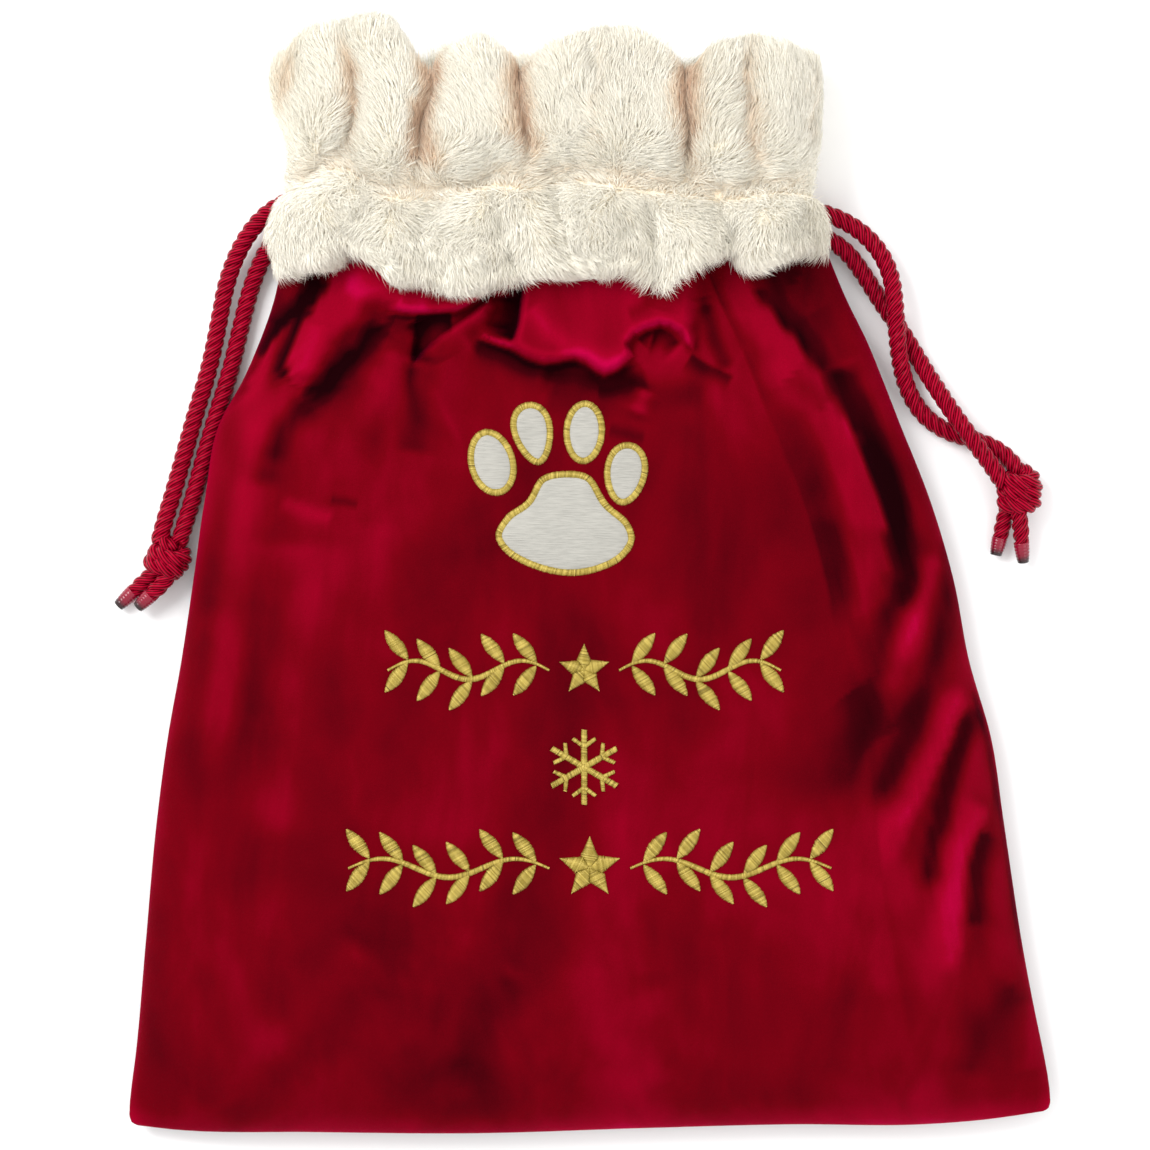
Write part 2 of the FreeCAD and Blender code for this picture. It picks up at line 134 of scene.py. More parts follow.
def shoulder_steps(width, count):
    """Depths from an edge, close together where the shoulder is steep."""
    angle = np.linspace(0.0, math.pi / 2, count)
    return width * (1.0 - np.cos(angle))


# ---- meshes ---------------------------------------------------------------------------------

def grid_quads(rows, columns, wrap_rows=False, wrap_columns=False):
    """Corner indices of a grid of rows by columns of points."""
    r = np.arange(rows if wrap_rows else rows - 1)
    c = np.arange(columns if wrap_columns else columns - 1)
    r, c = (a.ravel() for a in np.meshgrid(r, c, indexing="ij"))
    up, along = (r + 1) % rows, (c + 1) % columns
    return np.stack([r * columns + c, r * columns + along, up * columns + along, up * columns + c], 1)


def make_mesh(name, points, quads, triangles=None, fields=None, corner_fields=None):
    """A smooth-shaded mesh object from points in millimetres."""
    corners = np.asarray(quads).ravel()
    sizes = np.full(len(quads), 4)
    if triangles is not None and len(triangles):
        corners = np.concatenate([corners, np.asarray(triangles).ravel()])
        sizes = np.concatenate([sizes, np.full(len(triangles), 3)])
    mesh = bpy.data.meshes.new(name)
    mesh.vertices.add(len(points))
    mesh.vertices.foreach_set("co", placed(points).astype(np.float32).ravel())
    mesh.loops.add(len(corners))
    mesh.loops.foreach_set("vertex_index", corners.astype(np.int32))
    mesh.polygons.add(len(sizes))
    starts = np.concatenate([[0], np.cumsum(sizes)[:-1]])
    mesh.polygons.foreach_set("loop_start", starts.astype(np.int32))
    mesh.update(calc_edges=True)
    mesh.validate()
    mesh.shade_smooth()
    for domain, table in (("POINT", fields or {}), ("CORNER", corner_fields or {})):
        for key, values in table.items():
            layer = mesh.attributes.new(key, "FLOAT", domain)
            layer.data.foreach_set("value", np.asarray(values, np.float32).ravel())
    obj = bpy.data.objects.new(name, mesh)
    bpy.context.scene.collection.objects.link(obj)
    return obj


def dress(obj, material, body=None, replaces=()):
    """Gives a piece its material and slot, the body it rides on, and the CAD nodes it stands for."""
    obj.data.materials.append(material)
    if body:
        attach(obj, body)
    if replaces:
        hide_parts(*replaces)
    return obj


def thicken(obj, thickness):
    """Gives a sheet its thickness, inwards."""
    layer = obj.modifiers.new("thickness", "SOLIDIFY")
    layer.thickness = thickness * MM
    layer.offset = -1.0


def frames_along(points, up):
    """Two side directions along a line, turning as little as possible."""
    tangents = np.gradient(points, axis=0)
    tangents /= np.linalg.norm(tangents, axis=1)[:, None]
    side = np.array(up, float)
    sides = []
    for tangent in tangents:
        side = side - tangent * (side @ tangent)
        side = side / np.linalg.norm(side)
        sides.append(side)
    sides = np.array(sides)
    return sides, np.cross(tangents, sides)


def capped(rings, points):
    """A closed skin over rings of points about a line, with a closing point at each end."""
    around = rings.shape[1]
    quads = grid_quads(len(points), around, wrap_columns=True)
    count = len(points) * around
    ring = np.arange(around)
    following = (ring + 1) % around
    first = np.stack([np.full(around, count), following, ring], 1)
    last_start = count - around
    last = np.stack([np.full(around, count + 1), last_start + ring, last_start + following], 1)
    skin = np.vstack([rings.reshape(-1, 3), points[:1], points[-1:]])
    return skin, quads, np.vstack([first, last])


def tube(points, sides, across, radii, around):
    """A round skin about a line, with its radius at each point."""
    angle = np.arange(around) * 2 * math.pi / around
    rings = (
        points[:, None]
        + radii[:, None, None] * (
            np.cos(angle)[None, :, None] * sides[:, None]
            + np.sin(angle)[None, :, None] * across[:, None]
        )
    )
    return capped(rings, points)


def joined(parts):
    """One set of points, quads and triangles from several."""
    points, quads, triangles = [], [], []
    count = 0
    for p, q, t in parts:
        points.append(p)
        quads.append(q + count)
        triangles.append(t + count)
        count += len(p)
    return np.vstack(points), np.vstack(quads), np.vstack(triangles)


# ---- materials ------------------------------------------------------------------------------

class Look:
    """A node material built round one Principled shader."""

    def __init__(self, name, **sockets):
        self.material = bpy.data.materials.new(name)
        self.material.use_nodes = True
        self.tree = self.material.node_tree
        self.shader = self.tree.nodes["Principled BSDF"]
        for key, value in sockets.items():
            socket = self.shader.inputs[key.replace("_", " ")]
            socket.default_value = value if not isinstance(value, tuple) else (*value, 1.0)

    def node(self, kind, **sockets):
        made = self.tree.nodes.new(kind)
        for key, value in sockets.items():
            made.inputs[key.replace("_", " ")].default_value = value
        return made

    def link(self, source, target):
        self.tree.links.new(source, target)

    def place(self, stretch=(1.0, 1.0, 1.0)):
        """Object coordinates in metres, stretched by these factors."""
        source = self.node("ShaderNodeTexCoord")
        mapping = self.node("ShaderNodeMapping", Scale=stretch)
        self.link(source.outputs["Object"], mapping.inputs["Vector"])
        return mapping.outputs["Vector"]

    def field(self, name):
        """A value stored on the mesh."""
        made = self.tree.nodes.new("ShaderNodeAttribute")
        made.attribute_name = name
        return made.outputs["Fac"]

    def noise(self, scale, detail=2.0, roughness=0.5, stretch=(1.0, 1.0, 1.0), distortion=0.0):
        made = self.node(
            "ShaderNodeTexNoise", Scale=scale, Detail=detail, Roughness=roughness, Distortion=distortion
        )
        self.link(self.place(stretch), made.inputs["Vector"])
        return made.outputs["Fac"]

    def maths(self, operation, value, *numbers):
        """A Math node fed by value, with these numbers in its other sockets."""
        made = self.tree.nodes.new("ShaderNodeMath")
        made.operation = operation
        for place, number in enumerate(numbers):
            made.inputs[place + 1].default_value = number
        self.link(value, made.inputs[0])
        return made

    def sum(self, first, second, share=1.0):
        """first + second x share."""
        made = self.maths("ADD", first)
        self.link(self.maths("MULTIPLY", second, share).outputs[0], made.inputs[1])
        return made.outputs[0]

    def offset(self, value, scale, shift):
        """value x scale + shift."""
        return self.maths("MULTIPLY_ADD", value, scale, shift).outputs[0]

    def wave(self, value, per_unit):
        """Sine of a value, this many radians per unit."""
        scaled = self.maths("MULTIPLY", value, per_unit)
        return self.maths("SINE", scaled.outputs[0]).outputs[0]

    def ramp(self, value, *stops):
        made = self.tree.nodes.new("ShaderNodeValToRGB")
        elements = made.color_ramp.elements
        while len(elements) < len(stops):
            elements.new(0.5)
        for element, (position, colour) in zip(elements, stops):
            element.position = position
            element.color = (*colour, 1.0)
        self.link(value, made.inputs["Fac"])
        return made.outputs["Color"]

    def colour(self, value, *stops):
        self.link(self.ramp(value, *stops), self.shader.inputs["Base Color"])

    def roughness(self, value, low, high):
        made = self.node("ShaderNodeMapRange", To_Min=low, To_Max=high)
        self.link(value, made.inputs["Value"])
        self.link(made.outputs["Result"], self.shader.inputs["Roughness"])

    def bump(self, value, distance, strength=1.0):
        made = self.node("ShaderNodeBump", Strength=strength, Distance=distance)
        self.link(value, made.inputs["Height"])
        self.link(made.outputs["Normal"], self.shader.inputs["Normal"])


def velvet_look():
    """Crimson pile, darker and brighter by its shade field, which holds painted shade and painted highlight,
    and by soft clouds and streaks.
    """
    look = Look("velvet", Specular_IOR_Level=0.015, Sheen_Weight=0.39,
                Sheen_Roughness=0.28, Sheen_Tint=(0.90, 0.0, 0.13))
    clouds = look.noise(8.0, detail=3.0, roughness=0.5, distortion=0.5)
    streaks = look.noise(24.0, detail=3.0, roughness=0.6, stretch=(1.0, 0.4, 1.0), distortion=0.4)
    mixed = look.sum(look.sum(clouds, streaks, 0.6), look.noise(900.0, detail=2.0), 0.10)
    shaded = look.sum(look.offset(mixed, 0.62, -0.045), look.field("shade"), 0.48)
    look.colour(
        shaded, (0.04, (0.008, 0.0, 0.0008)), (0.26, (0.039, 0.0, 0.0019)),
        (0.50, (0.130, 0.0001, 0.0038)), (0.74, (0.252, 0.0002, 0.0130)), (0.98, (0.435, 0.0006, 0.0500)),
    )
    look.roughness(streaks, 0.7, 0.92)
    grain = look.sum(look.noise(2600.0, detail=1.0), look.noise(420.0, detail=2.0), 0.8)
    look.bump(grain, 0.0006, 0.5)
    return look.material


def satin_look():
    look = Look("lining_satin", Roughness=0.35, Specular_IOR_Level=0.5, Sheen_Weight=0.2,
                Sheen_Tint=(1.0, 0.2, 0.3))
    weave = look.noise(1400.0, detail=1.0, stretch=(1.0, 0.1, 1.0))
    folds = look.noise(24.0, detail=3.0, distortion=0.5)
    # Colour darker and brighter with soft fold-sized patches: painted shade and painted highlight of folds.
    look.colour(look.sum(folds, weave, 0.25), (0.3, (0.11, 0.0008, 0.010)), (0.9, (0.26, 0.003, 0.024)))
    look.roughness(folds, 0.26, 0.42)
    look.bump(weave, 0.0003, 0.5)
    return look.material


def seam_look():
    look = Look("seam_allowance", Roughness=0.9, Sheen_Weight=0.3, Sheen_Tint=(1.0, 0.15, 0.25))
    threads = look.noise(500.0, detail=2.0, stretch=(1.0, 0.3, 1.0))
    look.colour(threads, (0.3, (0.07, 0.0, 0.004)), (0.7, (0.20, 0.001, 0.012)))
    look.bump(threads, 0.0006, 0.7)
    return look.material


def fur_skin_look():
    look = Look("fur_skin", Roughness=0.95, Specular_IOR_Level=0.15, Sheen_Weight=0.3,
                Sheen_Roughness=0.5, Sheen_Tint=(1.0, 0.95, 0.88))
    groove = look.field("groove")
    tufts = look.noise(260.0, detail=3.0)
    # Colour goes from cream to peach and tan with the groove depth: painted shade in the grooves.
    look.colour(
        look.sum(groove, tufts, 0.25), (0.05, (0.96, 0.90, 0.74)), (0.55, (0.94, 0.78, 0.58)),
        (1.0, (0.88, 0.65, 0.46)),
    )
    look.roughness(tufts, 0.85, 1.0)
    look.bump(tufts, 0.002, 0.7)
    return look.material


def fur_look():
    look = Look("fur_pile", Roughness=0.55, Specular_IOR_Level=0.30, Sheen_Weight=0.6,
                Sheen_Roughness=0.5, Sheen_Tint=(1.0, 0.95, 0.83))
    # The tone field holds painted shade: lower, so tan and darker, in the grooves and along the casing line.
    tone = look.sum(look.field("tone"), look.noise(120.0, detail=2.0), 0.16)
    look.colour(
        tone, (0.08, (0.72, 0.46, 0.30)), (0.34, (0.86, 0.68, 0.50)), (0.60, (0.93, 0.82, 0.665)),
        (0.88, (0.975, 0.935, 0.825)),
    )
    look.roughness(look.field("tone"), 0.42, 0.7)
    return look.material


def tape_look():
    look = Look("casing_tape", Roughness=0.85, Specular_IOR_Level=0.2)
    weave = look.sum(
        look.noise(900.0, detail=1.0, stretch=(1.0, 0.15, 1.0)),
        look.noise(900.0, detail=1.0, stretch=(0.15, 1.0, 1.0)),
    )
    look.colour(weave, (0.7, (0.58, 0.52, 0.42)), (1.0, (0.80, 0.76, 0.66)))
    look.bump(weave, 0.0003, 0.6)
    return look.material


YARNS = 9                    # fine yarns seen round each ply


def cord_look():
    """Satin rope: fine yarns run slantwise along each ply."""
    look = Look("satin_cord", Specular_IOR_Level=0.16, Specular_Tint=(1.0, 0.22, 0.28), Sheen_Weight=0.03,
                Sheen_Roughness=0.3, Sheen_Tint=(1.0, 0.03, 0.12))
    lean = look.sum(look.field("around"), look.field("along"), 0.55)
    yarns = look.wave(lean, 2 * math.pi * YARNS)
    shade = look.sum(yarns, look.noise(160.0, detail=3.0), 1.4)
    look.colour(
        shade, (0.0, (0.075, 0.0001, 0.0026)), (0.55, (0.172, 0.0003, 0.0068)),
        (1.0, (0.37, 0.0018, 0.024)),
    )
    look.roughness(yarns, 0.26, 0.42)
    look.bump(yarns, 0.00018, 0.5)
    return look.material


def tip_look():
    look = Look("clear_tip_film", Specular_IOR_Level=0.3, Coat_Weight=0.35, Coat_Roughness=0.08)
    along = look.field("along")
    wrap = look.noise(700.0, detail=2.0, stretch=(1.0, 1.0, 0.4))
    look.colour(
        look.sum(along, wrap, 0.15), (0.1, (0.25, 0.002, 0.022)), (0.66, (0.19, 0.002, 0.018)),
        (0.88, (0.045, 0.006, 0.010)), (1.0, (0.02, 0.012, 0.012)),
    )
    look.roughness(wrap, 0.15, 0.35)
    look.bump(wrap, 0.0004, 0.5)
    return look.material


def pad_look():
    """Cream satin with fine ribs running across the pad."""
    look = Look("felt_pad", Roughness=0.6, Specular_IOR_Level=0.35, Sheen_Weight=0.35,
                Sheen_Roughness=0.4, Sheen_Tint=(1.0, 0.98, 0.94))
    ribs = look.noise(1.0, detail=2.0, stretch=(120.0, 1500.0, 300.0))
    clouds = look.noise(60.0, detail=2.0)
    look.colour(look.sum(ribs, clouds, 0.35), (0.35, (0.295, 0.287, 0.258)), (0.85, (0.400, 0.387, 0.348)))
    look.roughness(ribs, 0.45, 0.75)
    look.bump(ribs, 0.0007, 0.8)
    return look.material


def gold_look():
    """Rayon embroidery thread, each stitch a slightly different shade."""
    look = Look("gold_thread", Metallic=0.35, Specular_IOR_Level=0.7, Sheen_Weight=0.2,
                Sheen_Tint=(1.0, 0.85, 0.4))
    shade = look.sum(look.field("tone"), look.noise(300.0, detail=1.0), 0.2)
    look.colour(
        shade, (0.10, (0.100, 0.058, 0.004)), (0.5, (0.285, 0.203, 0.017)), (0.95, (0.55, 0.425, 0.088)),
    )
    look.roughness(look.field("tone"), 0.28, 0.44)
    look.bump(look.noise(2600.0, detail=1.0), 0.00012, 0.5)
    return look.material


LOOKS = {
    "velvet": velvet_look(), "lining": satin_look(), "seam": seam_look(), "skin": fur_skin_look(),
    "fur": fur_look(), "tape": tape_look(), "cord": cord_look(), "tip": tip_look(),
    "pad": pad_look(), "gold": gold_look(),
}


# ---- stage: camera, lights and floor ---------------------------------------------------------

CAMERA = (-7.9, -1.1, 2500.0)
FIELD = 623.0                # width of the picture at FIELD_Z
FIELD_Z = 16.0
SENSOR = 36.0
# name, place, size, watts: both lights face the origin
LIGHTS = [
    ("key", (-1100.0, 900.0, 1500.0), 1100.0, 31.0),
    ("fill", (1500.0, -300.0, 1300.0), 1600.0, 10.4),
]
SKY_STRENGTH = 1.09
FLOOR_SIZE = 6000.0
FLOOR_Z = -0.3


def stage_camera():
    data = bpy.data.cameras.new("camera")
    data.sensor_width = SENSOR
    data.lens = SENSOR * (CAMERA[2] - FIELD_Z) / FIELD
    data.clip_start = 0.01
    data.clip_end = 50.0
    camera = bpy.data.objects.new("camera", data)
    camera.location = placed(CAMERA)
    bpy.context.scene.collection.objects.link(camera)
    bpy.context.scene.camera = camera


def stage_light(name, place, size, watts):
    data = bpy.data.lights.new(name, "AREA")
    data.shape = "DISK"
    data.size = size * MM
    data.energy = watts
    light = bpy.data.objects.new(name, data)
    light.location = placed(place)
    light.rotation_euler = Vector(-placed(place)).to_track_quat("-Z", "Y").to_euler()
    bpy.context.scene.collection.objects.link(light)


def stage_floor():
    corners = ((-1, -1), (1, -1), (1, 1), (-1, 1))
    points = np.array([(x * FLOOR_SIZE, y * FLOOR_SIZE, FLOOR_Z) for x, y in corners])
    floor = make_mesh("floor", points, np.array([[0, 1, 2, 3]]))
    look = Look("floor", Roughness=0.9, Specular_IOR_Level=0.1)
    look.colour(look.noise(3.0), (0.4, (0.90, 0.90, 0.90)), (0.6, (0.92, 0.92, 0.92)))
    floor.data.materials.append(look.material)


def stage():
    stage_camera()
    stage_floor()
    for light in LIGHTS:
        stage_light(*light)
    world = bpy.data.worlds.new("studio")
    world.use_nodes = True
    sky = world.node_tree.nodes["Background"]
    sky.inputs["Color"].default_value = (1.0, 1.0, 1.0, 1.0)
    sky.inputs["Strength"].default_value = SKY_STRENGTH
    scene = bpy.context.scene
    scene.world = world
    scene.view_settings.view_transform = "Standard"
    scene.view_settings.look = "None"


# ---- drawcords --------------------------------------------------------------------------------

PITCH = 17.0                 # one full turn of the three plies
PLY_R = 2.42
PLY_REACH = 2.62             # from the rope's middle to a ply's middle
ROPE_STEP = 0.9
PLY_SIDES = 14
PLY_SHIFT = 0.37             # how far the yarns of one ply start past those of the ply before

# The strands' routes, from inside the casing to the knot.
LEFT_OUTER = [
    (-140.0, 204.0, 15.5), (-154.0, 204.0, 15.5), (-168.0, 200.0, 15.4), (-180.6, 190.0, 14.6),
    (-190.8, 175.0, 11.2), (-197.8, 157.0, 7.0), (-201.6, 136.5, 5.3), (-206.8, 111.0, 5.2),
    (-214.6, 86.0, 5.2), (-221.2, 62.0, 5.2), (-227.0, 41.5, 5.5), (-231.2, 27.5, 7.4),
    (-234.0, 16.0, 9.0),
]
LEFT_INNER = [
    (-142.0, 192.0, 15.5), (-154.0, 192.0, 15.5), (-166.0, 186.8, 12.6), (-175.0, 176.5, 8.2),
    (-181.5, 163.0, 5.5), (-186.4, 147.5, 5.2), (-190.8, 128.5, 5.2), (-195.8, 108.0, 5.2),
    (-203.5, 84.0, 5.2), (-210.2, 61.0, 5.2), (-215.6, 40.5, 5.5), (-219.8, 27.0, 7.4),
    (-223.2, 15.6, 9.0),
]
RIGHT_OUTER = [
    (104.0, 197.2, 15.5), (118.0, 197.2, 15.5), (132.5, 193.5, 15.3), (146.5, 186.0, 14.2),
    (157.4, 175.0, 13.2), (163.6, 161.5, 14.2), (165.4, 147.0, 17.0), (166.4, 129.5, 17.0),
    (168.6, 113.0, 11.0), (173.4, 98.0, 5.6), (182.0, 85.0, 5.2), (194.0, 76.8, 5.2),
    (208.0, 72.8, 5.2), (220.5, 68.4, 5.4), (230.0, 60.6, 6.4), (236.0, 51.0, 8.0),
]
RIGHT_INNER = [
    (100.0, 185.2, 15.5), (115.0, 185.2, 15.5), (128.5, 182.0, 13.6), (140.0, 174.5, 9.8),
    (149.5, 162.0, 6.0), (158.8, 147.0, 5.2), (169.2, 132.5, 5.2), (179.0, 116.0, 5.8),
    (188.2, 100.5, 11.0), (198.0, 85.0, 16.8), (210.0, 68.5, 16.8), (218.4, 57.6, 15.0),
    (224.4, 48.6, 13.0),
]


def smooth_line(route):
    """Points along the NURBS spline that has the route as its control points, in millimetres."""
    curve = bpy.data.curves.new("route", "CURVE")
    curve.dimensions = "3D"
    curve.resolution_u = 16
    spline = curve.splines.new("NURBS")
    spline.points.add(len(route) - 1)
    for point, place in zip(spline.points, route):
        point.co = (*placed(place), 1.0)
    spline.order_u = 3
    spline.use_endpoint_u = True
    carrier = bpy.data.objects.new("route", curve)
    bpy.context.scene.collection.objects.link(carrier)
    graph = bpy.context.evaluated_depsgraph_get()
    mesh = bpy.data.meshes.new_from_object(carrier.evaluated_get(graph))
    line = np.array([v.co for v in mesh.vertices], float) / MM
    bpy.data.objects.remove(carrier)
    bpy.data.curves.remove(curve)
    bpy.data.meshes.remove(mesh)
    return line


def evenly(line, step):
    """The same line with points an even step apart."""
    gaps = np.linalg.norm(np.diff(line, axis=0), axis=1)
    reach = np.concatenate([[0.0], np.cumsum(gaps)])
    at = np.linspace(0.0, reach[-1], max(3, int(round(reach[-1] / step)) + 1))
    return np.stack([np.interp(at, reach, line[:, k]) for k in range(3)], 1), at


def rope_mesh(name, line, phase=0.0, up=(0.0, 0.0, 1.0), swell=None):
    """Three plies laid right-handed about a line. swell scales the rope's thickness along it."""
    points, reach = evenly(line, ROPE_STEP)
    sides, across = frames_along(points, up)
    size = np.ones(len(points)) if swell is None else swell(reach / reach[-1])
    parts, around, along = [], [], []
    for ply in range(3):
        angle = phase + 2 * math.pi * (reach / PITCH + ply / 3)
        out = np.cos(angle)[:, None] * sides + np.sin(angle)[:, None] * across
        middle = points + out * (PLY_REACH * size)[:, None]
        ply_tangent = np.gradient(middle, axis=0)
        ply_tangent /= np.linalg.norm(ply_tangent, axis=1)[:, None]
        ply_side = out - ply_tangent * np.sum(out * ply_tangent, axis=1)[:, None]
        ply_side /= np.linalg.norm(ply_side, axis=1)[:, None]
        part = tube(middle, ply_side, np.cross(ply_tangent, ply_side), PLY_R * size, PLY_SIDES)
        parts.append(part)
        rows, columns = np.divmod(part[1], PLY_SIDES)
        closing = (columns == 0) & (columns.max(axis=1) == PLY_SIDES - 1)[:, None]
        around.append((np.where(closing, PLY_SIDES, columns) / PLY_SIDES).ravel())
        along.append((reach[rows] / PITCH + ply * PLY_SHIFT).ravel())
    flat = [np.zeros(part[2].size) for part in parts]
    fields = {"around": np.concatenate(around + flat), "along": np.concatenate(along + flat)}
    mesh_points, quads, triangles = joined(parts)
    return make_mesh(name, mesh_points, quads, triangles, corner_fields=fields)


def straight(start, end):
    return np.linspace(np.array(start, float), np.array(end, float), 24)


def drawcord(side, place, route):
    """One strand, from the casing to the knot, and its lead inside the casing."""
    body = side + "_pull"
    node = "drawcord_" + side
    line = smooth_line(route)
    strand = rope_mesh("rope_" + side + "_" + place, line)
    dress(strand, LOOKS["cord"], body, (node + "_strand_" + place,))
    low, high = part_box(node + "_lead_" + place)
    inner_x = (high.x if side == "left" else low.x) / MM
    lead_line = straight((inner_x, route[0][1], route[0][2]), route[0])
    phase = -2 * math.pi * abs(inner_x - route[0][0]) / PITCH
    lead = rope_mesh("rope_" + side + "_" + place + "_lead", lead_line, phase)
    dress(lead, LOOKS["cord"], body, (node + "_lead_" + place,))


# Knots: middle, heading of the tails in degrees, wrap radius level and upright, length, turns,
# and where the wrap starts in degrees.
KNOTS = {
    "left": ((-229.0, 7.5, 10.6), 248.0, (7.6, 5.4), 12.5, 2.35, 200.0),
    "right": ((233.6, 44.6, 10.6), 262.0, (7.8, 5.4), 15.0, 2.45, 20.0),
}
KNOT_TUCK = 0.12             # share of the wrap that tucks inside at each end
KNOT_SWAY = 2.2


def knot_piece(side):
    """An overhand knot: the rope wraps round the bundle and both ends tuck inside."""
    middle, heading, (level, upright), length, turns, start = KNOTS[side]
    heading = math.radians(heading)
    axis = np.array([math.cos(heading), math.sin(heading), 0.0])
    flat = np.array([-math.sin(heading), math.cos(heading), 0.0])
    t = np.linspace(-KNOT_TUCK, 1.0 + KNOT_TUCK, 120)
    tuck = smooth(-KNOT_TUCK, 0.04, t) * smooth(1.0 + KNOT_TUCK, 0.96, t)
    angle = math.radians(start) + 2 * math.pi * turns * t
    shift = (t - 0.5) * length + KNOT_SWAY * np.sin(angle)
    line = (
        np.array(middle) + axis * shift[:, None]
        + flat * (level * tuck * np.cos(angle))[:, None]
        + np.array([0.0, 0.0, 1.0]) * (upright * tuck * np.sin(angle))[:, None]
    )
    piece = rope_mesh("rope_" + side + "_knot", line, up=(0.3, 0.2, 1.0))
    dress(piece, LOOKS["cord"], side + "_pull", ("drawcord_" + side + "_knot",))


# Tails: from inside the knot to the end of the rope, then the taped tip.
TAILS = {
    ("left", "long"): [
        (-233.0, 4.0, 9.0), (-237.5, -0.5, 7.0), (-249.5, -11.5, 5.6), (-256.6, -18.0, 5.2),
    ],
    ("left", "short"): [
        (-226.5, 2.5, 13.0), (-229.5, -3.5, 12.4), (-239.4, -13.0, 10.6), (-245.6, -18.8, 9.4),
    ],
    ("right", "long"): [
        (232.4, 41.0, 15.0), (232.6, 33.0, 14.0), (234.8, 15.0, 8.4), (235.9, 5.6, 6.4),
    ],
    ("right", "short"): [
        (228.0, 39.0, 9.0), (226.2, 33.0, 7.0), (222.8, 17.5, 5.2), (221.0, 9.5, 5.1),
    ],
}


TIP_SIDES = 20


def tail_piece(side, size):
    """A tail of rope below the knot, and the film tip on its end."""
    inside, start, end, tip = (np.array(p) for p in TAILS[side, size])
    line = smooth_line([inside, start, (start + end) / 2 + (0.4, 0.3, 0.2), end])

    def swell(t):
        return 0.93 - 0.13 * smooth(0.7, 1.0, t)

    tail = rope_mesh("rope_" + side + "_tail_" + size, line, swell=swell)
    node = "drawcord_" + side + "_tail_" + size
    dress(tail, LOOKS["cord"], side + "_pull", (node,))
    points, reach = evenly(np.array([end - (tip - end) * 0.18, tip]), 0.35)
    share = reach / reach[-1]
    sides, across = frames_along(points, (0.0, 0.0, 1.0))
    wrinkle = 1.0 + 0.025 * np.sin(share * 40.0)
    radii = (4.25 - 1.25 * share ** 1.6) * wrinkle * np.sqrt(1.0 - smooth(0.93, 1.06, share) ** 2)
    along = np.concatenate([np.repeat(share, TIP_SIDES), [0.0, 1.0]])
    skin = tube(points, sides, across, radii, TIP_SIDES)
    piece = make_mesh("tip_" + side + "_" + size, *skin, fields={"along": along})
    node = "drawcord_" + side + "_tip_" + size
    dress(piece, LOOKS["tip"], side + "_pull", (node,))


def channel_cords():
    """The drawcords' hidden runs inside the casing."""
    for place, body in (("back", "sack_body"), ("front", "mouth_front")):
        for row in ("upper", "lower"):
            node = "channel_cord_" + place + "_" + row
            low, high = (np.array(corner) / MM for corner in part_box(node))
            middle = (low + high) / 2
            line = straight((low[0], middle[1], middle[2]), (high[0], middle[1], middle[2]))
            piece = rope_mesh("rope_" + place + "_channel_" + row, line)
            dress(piece, LOOKS["cord"], body, (node,))


def cords():
    for side, outer, inner in (("left", LEFT_OUTER, LEFT_INNER), ("right", RIGHT_OUTER, RIGHT_INNER)):
        drawcord(side, "outer", outer)
        drawcord(side, "inner", inner)
    for side in ("left", "right"):
        knot_piece(side)
        tail_piece(side, "long")
        tail_piece(side, "short")
    channel_cords()


# ---- the sack's body --------------------------------------------------------------------------

BOTTOM_Y = -301.5
VELVET_TOP_Y = 176.0         # the velvet runs on under the cuff
SEAM_Z = 12.0
FRONT_Z = 44.0
SIDE_WIDTH = 70.0            # width of the rounded stretch at each side
BOTTOM_WIDTH = 82.0
BACK_BOTTOM_WIDTH = 30.0
LINING_FOOT_Y = -286.0
SEAM_TOP_Y = 146.0

# y, left edge, right edge
OUTLINE = [
    (-302.0, -243.5, 244.5), (-300.8, -247.4, 248.0), (-298.4, -249.2, 249.6), (-293.0, -249.6, 249.8),
    (-283.0, -248.8, 248.9), (-263.0, -246.4, 246.0),
    (-200.0, -240.8, 234.5), (-134.0, -234.8, 224.6), (-90.0, -229.0, 218.0),
    (-47.0, -221.4, 205.8), (-4.0, -215.0, 197.6), (40.0, -208.8, 184.6), (83.0, -200.0, 167.6),
    (104.0, -188.4, 159.4), (126.0, -178.8, 150.4), (148.0, -171.2, 139.6), (176.0, -166.0, 128.0),
]
